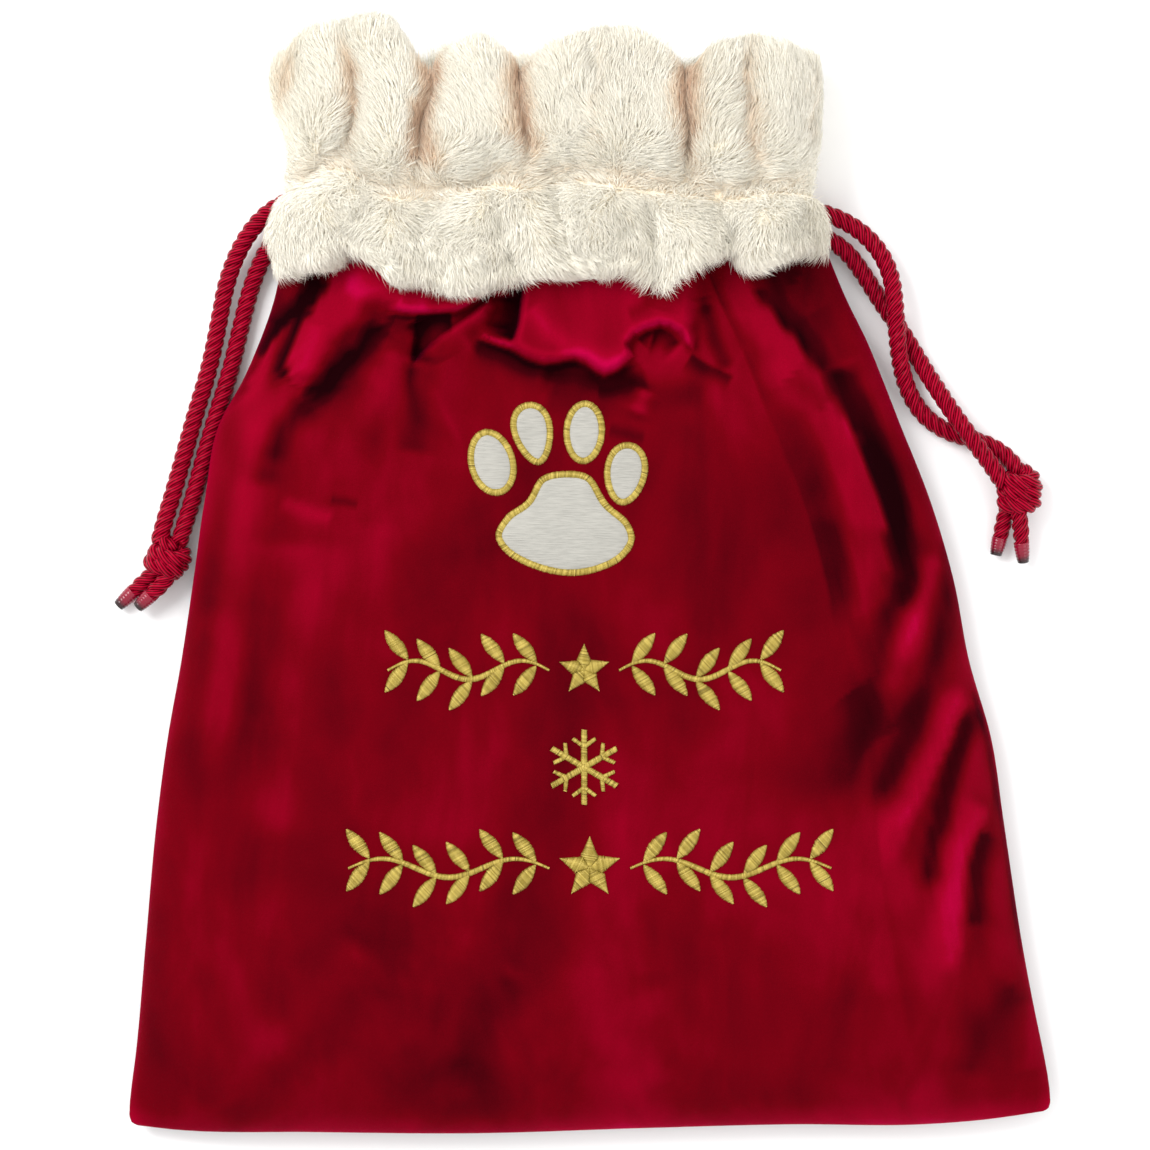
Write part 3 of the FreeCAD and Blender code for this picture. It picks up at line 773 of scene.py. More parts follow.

# Laps: where a fold of the front lies over the velvet beside it. Each has its height, how much painted
# highlight
# brightens its colour, and its outline: x, y and how wide the round-over is from that corner on.
LAPS = [
    # the big flap at the upper left and the lip right of it
    (9.0, 0.15, [
        (-135, 174, 4), (-135.4, 168.6, 4), (-139.6, 162, 4), (-143.4, 154.3, 4), (-147.3, 147.5, 4),
        (-151.2, 139.8, 4), (-155.1, 132, 4), (-158.9, 123.3, 4), (-162, 116.6, 4), (-163.4, 111.5, 4.5),
        (-162, 105.4, 5), (-158, 100.6, 6), (-153.6, 99.2, 8), (-147.6, 101.6, 11), (-139.6, 108.8, 14),
        (-131.8, 117.5, 16), (-122.2, 127, 16), (-113.5, 137.4, 6), (-109, 140.6, 3.4),
        (-101.9, 138.8, 3.2), (-95, 138, 3.2), (-80.5, 138.4, 3.2), (-71.7, 140, 3.2),
        (-65.1, 143, 3.2), (-58.4, 146.6, 3.2), (-53, 151.6, 5), (-52, 180, 30), (-135, 190, 8),
    ]),
    # the velvet it lies over, with an edge of its own
    (4.4, 0.03, [
        (-143, 152, 3.4), (-151.2, 143.4, 3.4), (-163.8, 133.8, 3.4), (-172.5, 123.2, 3.6),
        (-179.6, 114.4, 5), (-190, 100, 9), (-201, 82, 26), (-186, 30, 30), (-140, 66, 30), (-120, 120, 24),
    ]),
    # the fold between the pocket under the lip and the dark pleat
    (5.0, 0.05, [
        (-53, 148, 4), (-69.4, 136, 4), (-80.6, 128.2, 4), (-90.6, 119, 4), (-95, 111, 8), (-98, 84, 22),
        (-66, 60, 24), (-56, 110, 12), (-57.5, 127, 8), (-49.6, 142, 8),
    ]),
    # the puff in the middle, with a tongue to the left and a small bump to the right
    (8.2, 0.14, [
        (-37.2, 178, 4.5), (-37.2, 152, 4.5), (-40, 136, 4.5), (-42.2, 125, 4), (-50, 126.8, 3.4),
        (-58.6, 128.6, 3.4), (-51.8, 123.4, 4.5), (-42.9, 119.4, 5), (-34.1, 115, 5.5), (-25.3, 112.2, 5.5),
        (-16.4, 112, 5.5), (-8.7, 113.4, 5.5), (-3.2, 111.7, 5.5), (2.4, 107.8, 5.5), (7.9, 105.2, 5),
        (13.4, 107.8, 4.5), (19, 111.5, 4), (24, 115.8, 4), (20.6, 122.1, 3.4), (24.5, 127.1, 3.4),
        (30, 130.6, 3.4), (37.8, 133.2, 3.4), (42.6, 132.4, 4), (46.8, 128.6, 4.5), (51, 121.4, 5),
        (55.4, 118.6, 8), (60, 132, 12), (62, 150, 12), (62, 182, 20),
    ]),
    # the long fold down the right side, with its crisp edge towards the right
    (6.6, 0.02, [
        (60, 186, 30), (60, 148, 20), (67, 128, 22), (77, 106, 32), (96, 66, 36), (118, 20, 36),
        (136, -34, 30), (163.4, -22, 14), (164.4, -2, 10), (162.2, 16.3, 8), (157.4, 35.8, 7),
        (150.3, 54.2, 6.5), (142.7, 72.6, 6), (134.6, 88.3, 6), (125.4, 105.6, 5.5), (114, 121.3, 5),
        (100.5, 137.1, 4.5), (90.6, 149, 4), (86.2, 158.4, 4), (83.7, 168, 4), (83.7, 186, 20),
    ]),
]

# Soft folds of the front: run of points, height, width to the left and to the right of the run.
FOLDS = [
    ([(-158, 162), (-163, 148), (-172, 134)], 1.6, 7.0, 7.0),
    ([(-94, 136), (-90, 126), (-94, 112)], -5.0, 7.0, 4.0),
    ([(-46, 150), (-47, 138), (-49, 128)], -5.0, 6.0, 7.0),
    ([(-112, 132), (-104, 112), (-112, 94), (-126, 76), (-130, 52)], 2.6, 9.0, 9.0),
    ([(-150, 92), (-164, 76), (-172, 56)], -2.4, 8.0, 9.0),
    ([(-28, 106), (-4, 103), (22, 102), (36, 108)], -4.0, 6.0, 8.0),
    ([(33, 126), (40, 124), (46, 118)], -3.0, 7.0, 6.0),
    ([(30, 99), (25, 84)], 2.6, 6.0, 6.0),
    ([(61, 146), (67, 126), (76, 104)], -2.4, 4.0, 5.0),
    ([(132, 112), (144, 92), (154, 68), (162, 42), (168, 14)], -4.0, 9.0, 4.0),
    ([(-22, 104), (-26, 86), (-34, 40)], -1.6, 9.0, 9.0),
    ([(54, 104), (70, 60), (90, 10), (104, -40)], 2.0, 13.0, 12.0),
    ([(104, 96), (122, 56), (134, 10), (140, -30)], -2.0, 12.0, 12.0),
    # long soft folds at the lower right and left
    ([(188, 12), (176, -24), (164, -54)], 1.8, 7.0, 9.0),
    ([(203, -62), (190, -88), (176, -117), (165, -140), (156, -164)], 3.2, 5.0, 13.0),
    ([(215, -124), (206, -137), (198, -158), (196, -188), (195, -218)], 3.6, 5.0, 12.0),
    ([(204, -74), (194, -98), (186, -120), (180, -146)], -2.6, 8.0, 4.0),
    ([(208, -60), (219, -108), (227, -158), (235, -217)], -1.8, 3.0, 4.0),
    ([(132, -88), (150, -132), (176, -190), (190, -248)], 2.0, 14.0, 14.0),
    ([(-180, 60), (-190, 10), (-196, -50), (-206, -120)], 3.0, 13.0, 10.0),
    ([(-164, 20), (-176, -60), (-182, -140), (-196, -220)], -0.9, 14.0, 16.0),
    ([(-120, -196), (-150, -232), (-178, -264)], 2.2, 14.0, 12.0),
    ([(-40, -214), (-60, -244), (-70, -280)], -1.8, 14.0, 12.0),
    ([(30, -220), (40, -250), (36, -284)], 1.6, 14.0, 12.0),
]

# Painted shade (below 0) in creases and pockets and painted highlight (above 0) on rims: run of points,
# amount, width to its left and right.
# The widest, from 14 on, are broad changes of tone and not folds.
SHADES = [
    # round the flap and the velvet under it
    ([(-151.6, 142), (-156.6, 131), (-160.6, 123), (-163.6, 117), (-165, 111),
      (-163, 104)], -0.87, 0.8, 2.4),
    ([(-142, 158), (-151.2, 145.2), (-163.8, 135.4), (-172.8, 124.6), (-181, 115)], -0.78, 0.9, 9.5),
    ([(-160, 166), (-166, 150), (-174, 134)], -0.28, 12.0, 12.0),
    ([(-112.5, 135), (-122.2, 124.6), (-131.8, 115.4), (-139.6, 107), (-148.3, 99.4),
      (-156, 97)], -0.78, 9.0, 2.2),
    ([(-136, 108), (-149.3, 93.3), (-163.8, 78.8), (-170.5, 64.3), (-176, 44)], -0.51, 8.0, 8.0),
    ([(-132, 156), (-118, 147), (-104, 143), (-84, 143)], 0.42, 7.0, 4.5),
    ([(-147, 134), (-150, 122), (-155, 106)], 0.19, 6.0, 4.0),
    ([(-108, 122), (-111, 100), (-123, 84), (-130, 68), (-129, 46)], 0.16, 9.0, 10.0),
    # the lip's rim and the pocket below it
    ([(-110, 141.4), (-101.9, 139.4), (-95.1, 138.7), (-80.5, 139.1), (-71.7, 140.7),
      (-65.1, 143.7), (-55, 150)], 0.37, 1.7, 0.7),
    ([(-93, 136.8), (-84, 136.8), (-74, 138)], -1.01, 0.8, 7.0),
    ([(-92.4, 138), (-93, 128), (-94.4, 113)], -0.83, 5.5, 0.8),
    ([(-110, 138), (-102, 136.4), (-93, 136)], -0.37, 0.8, 9.0),
    ([(-94, 116), (-92, 92), (-97, 62)], -0.42, 12.0, 6.0),
    ([(-84, 124), (-78, 112)], -0.26, 7.0, 7.0),
    ([(-56, 142), (-69.4, 134.8), (-80.6, 127), (-90, 117.6)], 0.14, 5.0, 1.5),
    # the dark pleat and the puff
    ([(-37.6, 152), (-40.4, 135), (-42.6, 124.6)], -1.06, 0.9, 8.0),
    ([(-33, 143), (-22, 129), (-9, 120), (8, 112), (20, 115)], 0.38, 6.0, 5.5),
    ([(-58.6, 127.8), (-51.8, 123.9), (-42.9, 120), (-34.1, 115.8), (-25.3, 113.2),
      (-14, 113.2)], 0.31, 2.4, 0.8),
    ([(-62, 125), (-52, 121), (-43, 117.4), (-34.1, 113.2), (-25.3, 110.4), (-16.4, 110.2), (-8.7, 111.6),
      (-3.2, 109.8), (2.4, 106), (7.9, 103.4), (13.4, 106), (19, 109.4), (30, 112)], -0.78, 0.9, 8.0),
    ([(-24, 96), (4, 92), (36, 94), (68, 98)], -0.34, 8.0, 10.0),
    ([(108, 106), (128, 90)], -0.32, 8.0, 8.0),
    ([(40, 150), (38, 140)], -0.22, 7.0, 7.0),
    ([(4, 99), (18, 100), (32, 104)], -0.41, 5.0, 5.0),
    ([(24, 127.8), (30, 131.3), (37.8, 133.9), (42.6, 133.3), (47.2, 129.3), (52, 121)], 0.34, 1.7, 0.7),
    ([(26, 124), (31, 128.4), (38, 131), (43.6, 128), (47.6, 121)], -0.60, 0.8, 6.0),
    ([(53, 117), (62, 112.4), (79, 104)], -0.64, 1.4, 6.0),
    ([(60, 150), (66, 128), (75, 108)], -0.37, 4.0, 4.0),
    ([(34, 152), (30, 142), (20, 138)], -0.31, 4.0, 4.0),
    ([(30, 100), (25, 84)], 0.19, 5.0, 5.0),
    ([(10, 76), (30, 73)], -0.31, 3.5, 3.5),
    ([(56, 146), (50, 134)], 0.12, 6.0, 6.0),
    # the long right fold and the dark strip beyond it
    ([(86, 158), (90.4, 149), (100, 137), (113.4, 121.3), (125, 105.6), (134, 88), (142, 72), (149.6, 54),
      (156.6, 35.8), (161.4, 16), (163.6, -2), (162, -20)], 0.15, 1.0, 7.0),
    ([(88, 142), (104, 118), (92, 96)], 0.11, 8.0, 8.0),
    ([(89, 153), (103, 136), (116, 121), (127, 106)], -0.46, 3.5, 0.8),
    ([(127, 110), (136.4, 91), (145, 72.6), (152.4, 54), (159.6, 35.8), (164.6, 16), (167, -2),
      (169, -26)], -0.92, 12.0, 1.4),
    ([(94, 166), (112, 158)], -0.37, 7.0, 7.0),
    ([(120, 142), (138, 112)], -0.15, 9.0, 9.0),
    # diagonal streaks at the lower right
    ([(190, 16), (184, -6), (174, -28), (165, -52), (158, -70)], 0.20, 4.0, 5.0),
    ([(197, 20), (195, -6), (190, -34), (182, -62), (166, -98), (150, -130)], -0.62, 11.0, 8.0),
    ([(170, 26), (168, 0), (158, -34), (148, -80), (132, -124)], -0.42, 6.0, 14.0),
    ([(140, 30), (132, -30), (122, -90), (118, -130)], -0.16, 22.0, 26.0),
    ([(203, -60), (190, -86), (176, -117), (164, -142)], 0.20, 2.4, 6.0),
    ([(208, -70), (197, -96), (189, -120), (182, -146), (180, -172)], -0.58, 9.0, 3.2),
    ([(215, -124), (206, -137), (198, -158), (196, -188), (195, -218)], 0.26, 3.0, 8.0),
    ([(213, -138), (206, -158), (205, -192)], -0.48, 8.0, 3.0),
    ([(228, -222), (210, -246), (203, -274)], -0.31, 9.0, 9.0),
    ([(240, -232), (234, -276)], 0.21, 10.0, 10.0),
    ([(140, -62), (160, -88)], -0.28, 14.0, 14.0),
    ([(207, -60), (219, -108), (227, -158), (235, -217)], -0.40, 3.2, 1.0),
    # a streak and a crease at the left
    ([(-166, 38), (-151, 33.4), (-137, 29)], 0.37, 4.0, 5.0),
    ([(-139, 40), (-124, 36.6)], -0.37, 2.2, 2.4),
    ([(-162, 20), (-164, -44), (-166, -90), (-172, -146)], 0.34, 24.0, 22.0),
    ([(-118, 30), (-122, -30), (-124, -90), (-128, -140)], 0.13, 20.0, 20.0),
    ([(-206, 70), (-214, 10), (-226, -70), (-240, -190)], 0.10, 16.0, 16.0),
]

# How far the bottom edge lies above its straight line: x, rise.
BOTTOM_EDGE = [
    (-250, 2.4), (-226, -0.4), (-150, -1.8), (-60, -2.4), (30, 0.4), (110, 2.4), (180, 2.4), (215, 5.0),
    (250, 10.0),
]
BOTTOM_BEND = 70.0           # how far up the sack the bottom edge's curve reaches

SOFT_EDGE = 9.0              # laps fade out softly along edges at least this wide
CRISP = 1.4                  # narrowest change of shade the mesh can show
SHADE_FADE = 0.06            # share of a shade's run over which it fades in and out


def left_edge(y):
    """X of the outline's left side."""
    return through([(row[0], row[1]) for row in OUTLINE], y)


def right_edge(y):
    """X of the outline's right side."""
    return through([(row[0], row[2]) for row in OUTLINE], y)


def edge_depth(x, y):
    """How far in from the nearer side of the outline."""
    return np.minimum(x - left_edge(y), right_edge(y) - x)


def bottom_rise(x, y):
    """How far up the velvet lies near the bottom edge, which is curved."""
    return through(BOTTOM_EDGE, x) * smooth(BOTTOM_BEND, 0.0, y - BOTTOM_Y)


def wandering(x, y):
    """The same place, a little off, so that long edges are not drawn with a ruler."""
    return x + 1.3 * noise(x / 13.0, y / 15.0, 101), y + 1.1 * noise(x / 14.0, y / 12.0, 102)


def lap_share(x, y, outline):
    """How far in from its outline a lap has risen, from 0 to 1: steeply at its crisp edges,
    softly along the rest."""
    corners = np.array(outline, float)
    crisp = np.full(np.shape(x), 1.0)
    soft = np.full(np.shape(x), 1.0)
    inside = np.zeros(np.shape(x), bool)
    for (px, py, width), (qx, qy, _) in zip(corners, np.roll(corners, -1, axis=0)):
        dx, dy = qx - px, qy - py
        t = np.clip(((x - px) * dx + (y - py) * dy) / (dx * dx + dy * dy), 0.0, 1.0)
        share = np.hypot(x - px - t * dx, y - py - t * dy) / width
        if width < SOFT_EDGE:
            crisp = np.minimum(crisp, share)
        else:
            soft = np.minimum(soft, share)
        crossing = (py > y) != (qy > y)
        inside ^= crossing & (x < px + (y - py) / (dy if dy else 1e-9) * dx)
    return np.where(inside, np.sin(math.pi / 2 * crisp) * smooth(0.0, 1.0, soft), 0.0)


def front_relief(x, y):
    """Height of the front's folds over its plain shape, and how much of it applies there."""
    left, right = left_edge(y), right_edge(y)
    rise = shoulder(edge_depth(x, y), SIDE_WIDTH) * shoulder(y - BOTTOM_Y, BOTTOM_WIDTH)
    across = (x - (left + right) / 2) / (right - left)
    pleats = rough(across * 21.0, y / 150.0 + 3.0, 5, 2) * 1.6 * smooth(40.0, 150.0, y)
    waves = rough(x / 74.0 + 0.4 * noise(y / 60.0, x / 90.0, 8), y / 120.0, 11, 3) * 1.5
    creases = rough(x / 21.0, y / 34.0, 17, 2) * 0.42
    folds = sum(size * ridge(x, y, run, wide, thin) for run, size, wide, thin in FOLDS)
    laps = sum(size * lap_share(*wandering(x, y), outline) for size, _, outline in LAPS)
    calm = 1.0 - 0.55 * smooth(1.0, 0.55, np.hypot((x + 13.0) / 62.0, (y - 45.0) / 62.0))
    return (pleats + waves + creases) * calm + folds * 1.1 + laps, rise


def front_shade(x, y):
    """Painted shade and painted highlight in the velvet's colour, from -1 to 1: along the folds, and where
    only the tone changes.
    """
    wx, wy = wandering(x, y)
    shade = sum(
        size * ridge(wx, wy, run, max(wide, CRISP), max(thin, CRISP), SHADE_FADE)
        for run, size, wide, thin in SHADES
    )
    # Painted highlight over each lap, held back where painted shade lies.
    lap_highlight = sum(size * smooth(0.0, 0.9, lap_share(wx, wy, outline)) for _, size, outline in LAPS)
    # Painted highlight along the side edges and the bottom edge, where the velvet turns away.
    rim = 0.20 * np.exp(-(edge_depth(x, y) / 5.0) ** 2) + 0.42 * np.exp(-((y - BOTTOM_Y) / 9.0) ** 2)
    return shade + lap_highlight * smooth(0.0, 0.3, 1.0 + np.minimum(shade, 0.0)) + rim


def front_height(x, y):
    """Height of the velvet front over the table."""
    relief, rise = front_relief(x, y)
    crown = FRONT_Z - 5.0 * smooth(70.0, 165.0, y)
    crown = crown - 4.0 * smooth(150.0, 262.0, np.abs(x + 3.0)) + 1.2 * np.cos(x / 95.0)
    return SEAM_Z + (crown - SEAM_Z) * rise + relief * rise ** 1.5


def back_height(x, y):
    """Height of the velvet back: flat on the table, curving up to the seams."""
    rise = shoulder(edge_depth(x, y), SIDE_WIDTH) * shoulder(y - BOTTOM_Y, BACK_BOTTOM_WIDTH)
    sag = 0.5 + 0.5 * rough(x / 60.0, y / 80.0, 23, 2)
    return SEAM_Z * (1.0 - rise) + 0.15 + np.clip(sag, 0.0, 2.0) * rise


def body_columns(y, inset, count):
    """X places across the sack at height y, close together at the sides."""
    depths = shoulder_steps(SIDE_WIDTH, 20)
    left, right = left_edge(y) + inset, right_edge(y) - inset
    middle = np.linspace(left + SIDE_WIDTH, right - SIDE_WIDTH, count)
    return np.concatenate([left + depths[:-1], middle, (right - depths[:-1])[::-1]])


def body_rows(first, last, count):
    """Y places up the sack, close together at the bottom and over the folds at the top."""
    depths = shoulder_steps(BOTTOM_WIDTH, 26)
    share = np.linspace(0.0, 1.0, count)
    share = share * (1.5 - 0.5 * share ** 2.0)
    return np.concatenate([first + depths[:-1], first + BOTTOM_WIDTH + (last - first - BOTTOM_WIDTH) * share])


def body_sheet(name, height, last_y, inset, count, rows, thickness, first=BOTTOM_Y):
    """A grid over the whole panel, with its height from a function of x and y. The front's colour gets
    painted shade where the velvet lies lower than round it, and painted highlight where it lies higher."""
    ys = body_rows(first, last_y, rows)
    xs = np.array([body_columns(y, inset, count) for y in ys])
    ys = np.repeat(ys[:, None], xs.shape[1], axis=1)
    points = np.stack([xs, ys + bottom_rise(xs, ys), height(xs, ys)], axis=2)
    quads = grid_quads(*xs.shape)
    if height is back_height:
        quads = quads[:, ::-1]
    shade = np.zeros(xs.shape)
    if height is front_height:
        # Painted shade where the relief lies below its mean round it, painted highlight where it lies above.
        relief = front_relief(xs, ys)[0]
        around = sum(np.roll(relief, (i, j), (0, 1)) for i in (-3, 0, 3) for j in (-3, 0, 3)) / 9.0
        shade = front_shade(xs, ys) + np.clip((relief - around) / 5.0, -0.35, 0.25)
    obj = make_mesh(name, points.reshape(-1, 3), quads, fields={"shade": np.clip(shade, -1.0, 1.0)})
    thicken(obj, thickness)
    return obj


def velvet():
    front = body_sheet("velvet_front", front_height, VELVET_TOP_Y, 0.0, 250, 250, 2.0)
    dress(front, LOOKS["velvet"], None, ("front_panel",))
    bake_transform(front)
    back = body_sheet("velvet_back", back_height, 150.0, 0.0, 90, 90, 1.6)
    dress(back, LOOKS["velvet"], "sack_body", ("back_panel",))


def lining():
    """The satin lining follows the velvet a few millimetres inside it."""
    def inside(x, y):
        return smooth(-2.0, 30.0, edge_depth(x, y) - 14.0)

    def front(x, y):
        clear = np.maximum(front_height(x, y) - 5.5, SEAM_Z) - SEAM_Z
        return SEAM_Z + 0.6 + clear * inside(x, y)

    def back(x, y):
        share = inside(x, y)
        return SEAM_Z - 0.6 - (SEAM_Z - 4.4) * share + 0.5 * rough(x / 30.0, y / 45.0, 31, 2) * share

    for place, height in (("front", front), ("back", back)):
        piece = body_sheet("lining_sheet_" + place, height, 147.0, 16.0, 80, 70, 0.7, first=LINING_FOOT_Y)
        dress(piece, LOOKS["lining"], "sack_body", ("lining_" + place,))


def seam_strip(name, node, run, width):
    """A folded seam allowance with an overlocked edge, along a run of points."""
    line, reach = evenly(np.array(run, float), 1.2)
    sides, across = frames_along(line, (0.0, 0.0, 1.0))
    around = np.linspace(0.0, 2 * math.pi, 20, endpoint=False)
    wobble = 0.25 * np.sin(reach * 2.1)
    flat = width / 2 * np.sign(np.cos(around)) * np.abs(np.cos(around)) ** 0.6
    rings = (
        line[:, None] + sides[:, None] * ((1.2 + wobble)[:, None, None] * np.sin(around)[None, :, None])
        + across[:, None] * flat[None, :, None]
    )
    piece = make_mesh(name, *capped(rings, line))
    dress(piece, LOOKS["seam"], "sack_body", (node,))


def seams():
    ys = np.linspace(LINING_FOOT_Y, SEAM_TOP_Y, 60)
    for side, edge, sign in (("left", left_edge, 1.0), ("right", right_edge, -1.0)):
        xs = edge(ys) + sign * 10.5
        run = np.stack([xs, ys, np.full(len(ys), SEAM_Z)], 1)
        seam_strip("seam_" + side, "side_seam_" + side, run, 11.0)
    xs = np.linspace(-224.0, 224.0, 60)
    run = np.stack([xs, bottom_rise(xs, BOTTOM_Y) - 294.5, np.full(len(xs), 10.6)], 1)
    seam_strip("seam_bottom", "bottom_seam", run, 8.0)


# ---- the faux-fur cuff --------------------------------------------------------------------------

FUR_LEFT = -168.0            # sides of the fur's backing, without its pile
FUR_RIGHT = 126.0
FUR_SHOULDER = 40.0
FUR_FOOT = 29.0              # height of the cuff's side edges
# Rows of the backing's mesh: up the outside, over the mouth's rim, into the mouth where the pile
# carries on, and round the lower rim.
OUTER_ROWS = 72
RIM_ROWS = 9
INNER_PILE_ROWS = 10
INNER_ROWS = 30
LOWER_RIM_ROWS = 6           # rows of faces; it has one row of points fewer
RIM = 8.0                    # how far the mouth's rim rounds over
HEM = 3.0                    # how far the lower rim rounds over
BACK_LOBES = 6

HAIR_LENGTH = (7.5, 15.0)
HAIR_WIDTH = (0.13, 0.27)
HAIR_POINTS = 10
COMB_SCATTER = 0.28
GROOVE_SHORTER = 0.25        # how much shorter the pile is in a groove

# x, top edge of the backing in front
RUFFLE_TOP = [
    (-164, 272.6), (-158, 282.6), (-148, 287.6), (-138, 290.6), (-127, 292.6), (-118, 293.1),
    (-110, 290.6), (-102, 280.6), (-94, 269.6), (-87, 264.6), (-80, 272.6), (-70, 279.6), (-61, 281.6),
    (-52, 278.6), (-44, 272.6), (-37, 265.6), (-30, 269.6), (-20, 277.6), (-9, 282.6), (3, 285.1),
    (15, 285.6), (27, 285.6), (36, 279.6), (44, 272.6), (51, 265.6), (59, 268.6), (68, 276.6),
    (80, 280.6), (96, 281.6), (108, 279.6), (116, 272.6), (121, 262.6),
]
# x, bottom edge of the backing in front
BAND_BOTTOM = [
    (-164, 164), (-157, 167), (-147, 165.5), (-142, 168), (-136, 175), (-130, 173), (-118, 167),
    (-108, 159), (-94, 157.5), (-79, 153.5), (-68, 152), (-60, 154), (-50, 156.5), (-37, 159), (-27, 160.6),
    (-10, 160), (12, 162), (23, 161.5), (31, 157.5), (41, 155), (48, 160), (61, 168), (72, 172), (82, 173),
    (88, 165), (95, 166), (106, 171), (121, 177),
]
# x, how low the cuff reaches at the back
BACK_BOTTOM = [(-168, 163), (-150, 157), (96, 157), (114, 162), (126, 172)]
# x, the gathered line between the ruffle and the lower band
CASING_LINE = [
    (-168, 210), (-152, 212), (-140, 219), (-129, 220), (-118, 211), (-106, 206), (-90, 204.5), (-78, 204),
    (-68, 207), (-58, 211), (-46, 212), (-36, 210), (-24, 213), (-8, 214), (8, 213), (18, 211), (34, 209),
    (50, 207), (64, 205), (80, 205), (96, 208), (124, 208),
]
# y, how far each side of the cuff stands out there
LEFT_SIDE = [
    (156, 0), (172, 2), (183, 4), (194, 1), (211, -5.5), (233, -5.5), (244, -1), (266, 2.6), (280, 1.5),
]
RIGHT_SIDE = [
    (160, -1), (178, 1), (188, 0.6), (197, -2), (206, -6.5), (215, -6.5), (231, -4), (257, -2.6),
    (280, -4),
]
# x, how far the ruffle stands up there: four big lobes with grooves in them
RUFFLE_RISE = [
    (-164, 0.25), (-157, 0.75), (-148, 0.98), (-139, 0.88), (-132, 0.45), (-127, 0.36), (-122, 0.7),
    (-113, 1.0), (-103, 0.92), (-95, 0.4), (-88, -0.1), (-81, 0.45), (-72, 0.9), (-63, 1.0), (-53, 0.9),
    (-44, 0.5), (-37, 0.0), (-31, 0.45), (-21, 0.85), (-10, 1.0), (0, 0.86), (6, 0.74), (12, 0.86),
    (24, 1.0), (36, 0.85), (44, 0.45), (50, -0.05), (57, 0.45), (67, 0.9), (76, 0.92), (83, 0.62),
    (89, 0.56), (96, 0.88), (106, 0.96), (115, 0.7), (121, 0.2),
]
# x, the same for the lower band
BAND_RISE = [
    (-164, 0.3), (-154, 0.8), (-142, 0.95), (-130, 0.7), (-120, 0.75), (-104, 1.0), (-90, 0.8),
    (-80, 0.85), (-66, 1.0), (-52, 0.75), (-44, 0.35), (-37, 0.6), (-26, 0.95), (-14, 0.75), (-4, 0.95),
    (12, 1.0), (26, 0.7), (36, 0.35), (46, 0.75), (58, 0.95), (68, 0.65), (76, 0.4), (86, 0.8),
    (98, 1.0), (110, 0.8), (121, 0.3),
]


def ring_columns():
    """Round the cuff: along the front from left to right, and back under the sack.
    Returns the share of the way across, and the rise from -1 at the back to 1 in front."""
    steps = shoulder_steps(FUR_SHOULDER, 16)[:-1]
    width = FUR_RIGHT - FUR_LEFT
    turn = np.sqrt(1 - (1 - steps / FUR_SHOULDER) ** 2)

    def half(count):
        middle = np.linspace(FUR_SHOULDER, width - FUR_SHOULDER, count)
        across = np.concatenate([steps, middle, (width - steps)[::-1]])
        return across / width, np.concatenate([turn, np.ones(count), turn[::-1]])

    front, front_rise = half(124)
    back, back_rise = (half_ring[::-1][1:-1] for half_ring in half(64))
    return np.concatenate([front, back]), np.concatenate([front_rise, -back_rise])


def skewed(x, y):
    """X, wandering up the cuff so that its lobes are not straight."""
    return x + 5.0 * noise(y / 26.0, x / 40.0, 41)


def back_wave(across):
    """The even lobes of the cuff's hidden half, from -1 to 1."""
    return np.cos(across * 2 * math.pi * BACK_LOBES + 0.8)


def cuff_shape(across, rise, y, inner):
    """A point of the cuff's outer or inner face."""
    x = FUR_LEFT + (FUR_RIGHT - FUR_LEFT) * across
    casing = through(CASING_LINE, x)
    upper = smooth(casing - 4.0, casing + 24.0, y)
    lower = smooth(casing + 2.0, casing - 20.0, y)
    waist = np.exp(-((y - casing) / 10.0) ** 2)
    front = smooth(-0.15, 0.35, rise)
    skew = skewed(x, y)
    lobes = through(RUFFLE_RISE, skew) * upper + through(BAND_RISE, skew + (y - 180.0) * 0.25) * lower
    puffs = rough(x / 17.0, y / 20.0, 43, 3) * 0.16
    back_lobes = 0.5 + 0.5 * back_wave(across)
    lobes = (lobes + puffs) * front + back_lobes * 0.6 * (1.0 - front)
    tilt = smooth(245.0, 292.0, y)
    if inner:
        narrow = 11.0 - 2.0 * tilt
        x = FUR_LEFT + narrow + (FUR_RIGHT - FUR_LEFT - 2 * narrow) * across
        top = 47.6 + (3.0 * lobes - 2.0) * tilt
        under = 9.2 - 0.6 * tilt
    else:
        x = x + (across - 0.5) * 2.0 * (4.0 * lobes - 3.0) * (1.0 - np.abs(rise))
        x = x - through(LEFT_SIDE, y) * smooth(0.12, 0.0, across)
        x = x + through(RIGHT_SIDE, y) * smooth(0.88, 1.0, across)
        top = 49.0 + 12.5 * lobes - 2.0 * waist + 3.0 * upper * front
        under = 3.0 + 2.5 * (1.0 - lobes) * (1.0 - front) + 2.0 * waist
    z = FUR_FOOT + np.where(rise > 0, (top - FUR_FOOT) * rise, (FUR_FOOT - under) * rise)
    return np.stack([x, y, z], axis=-1)


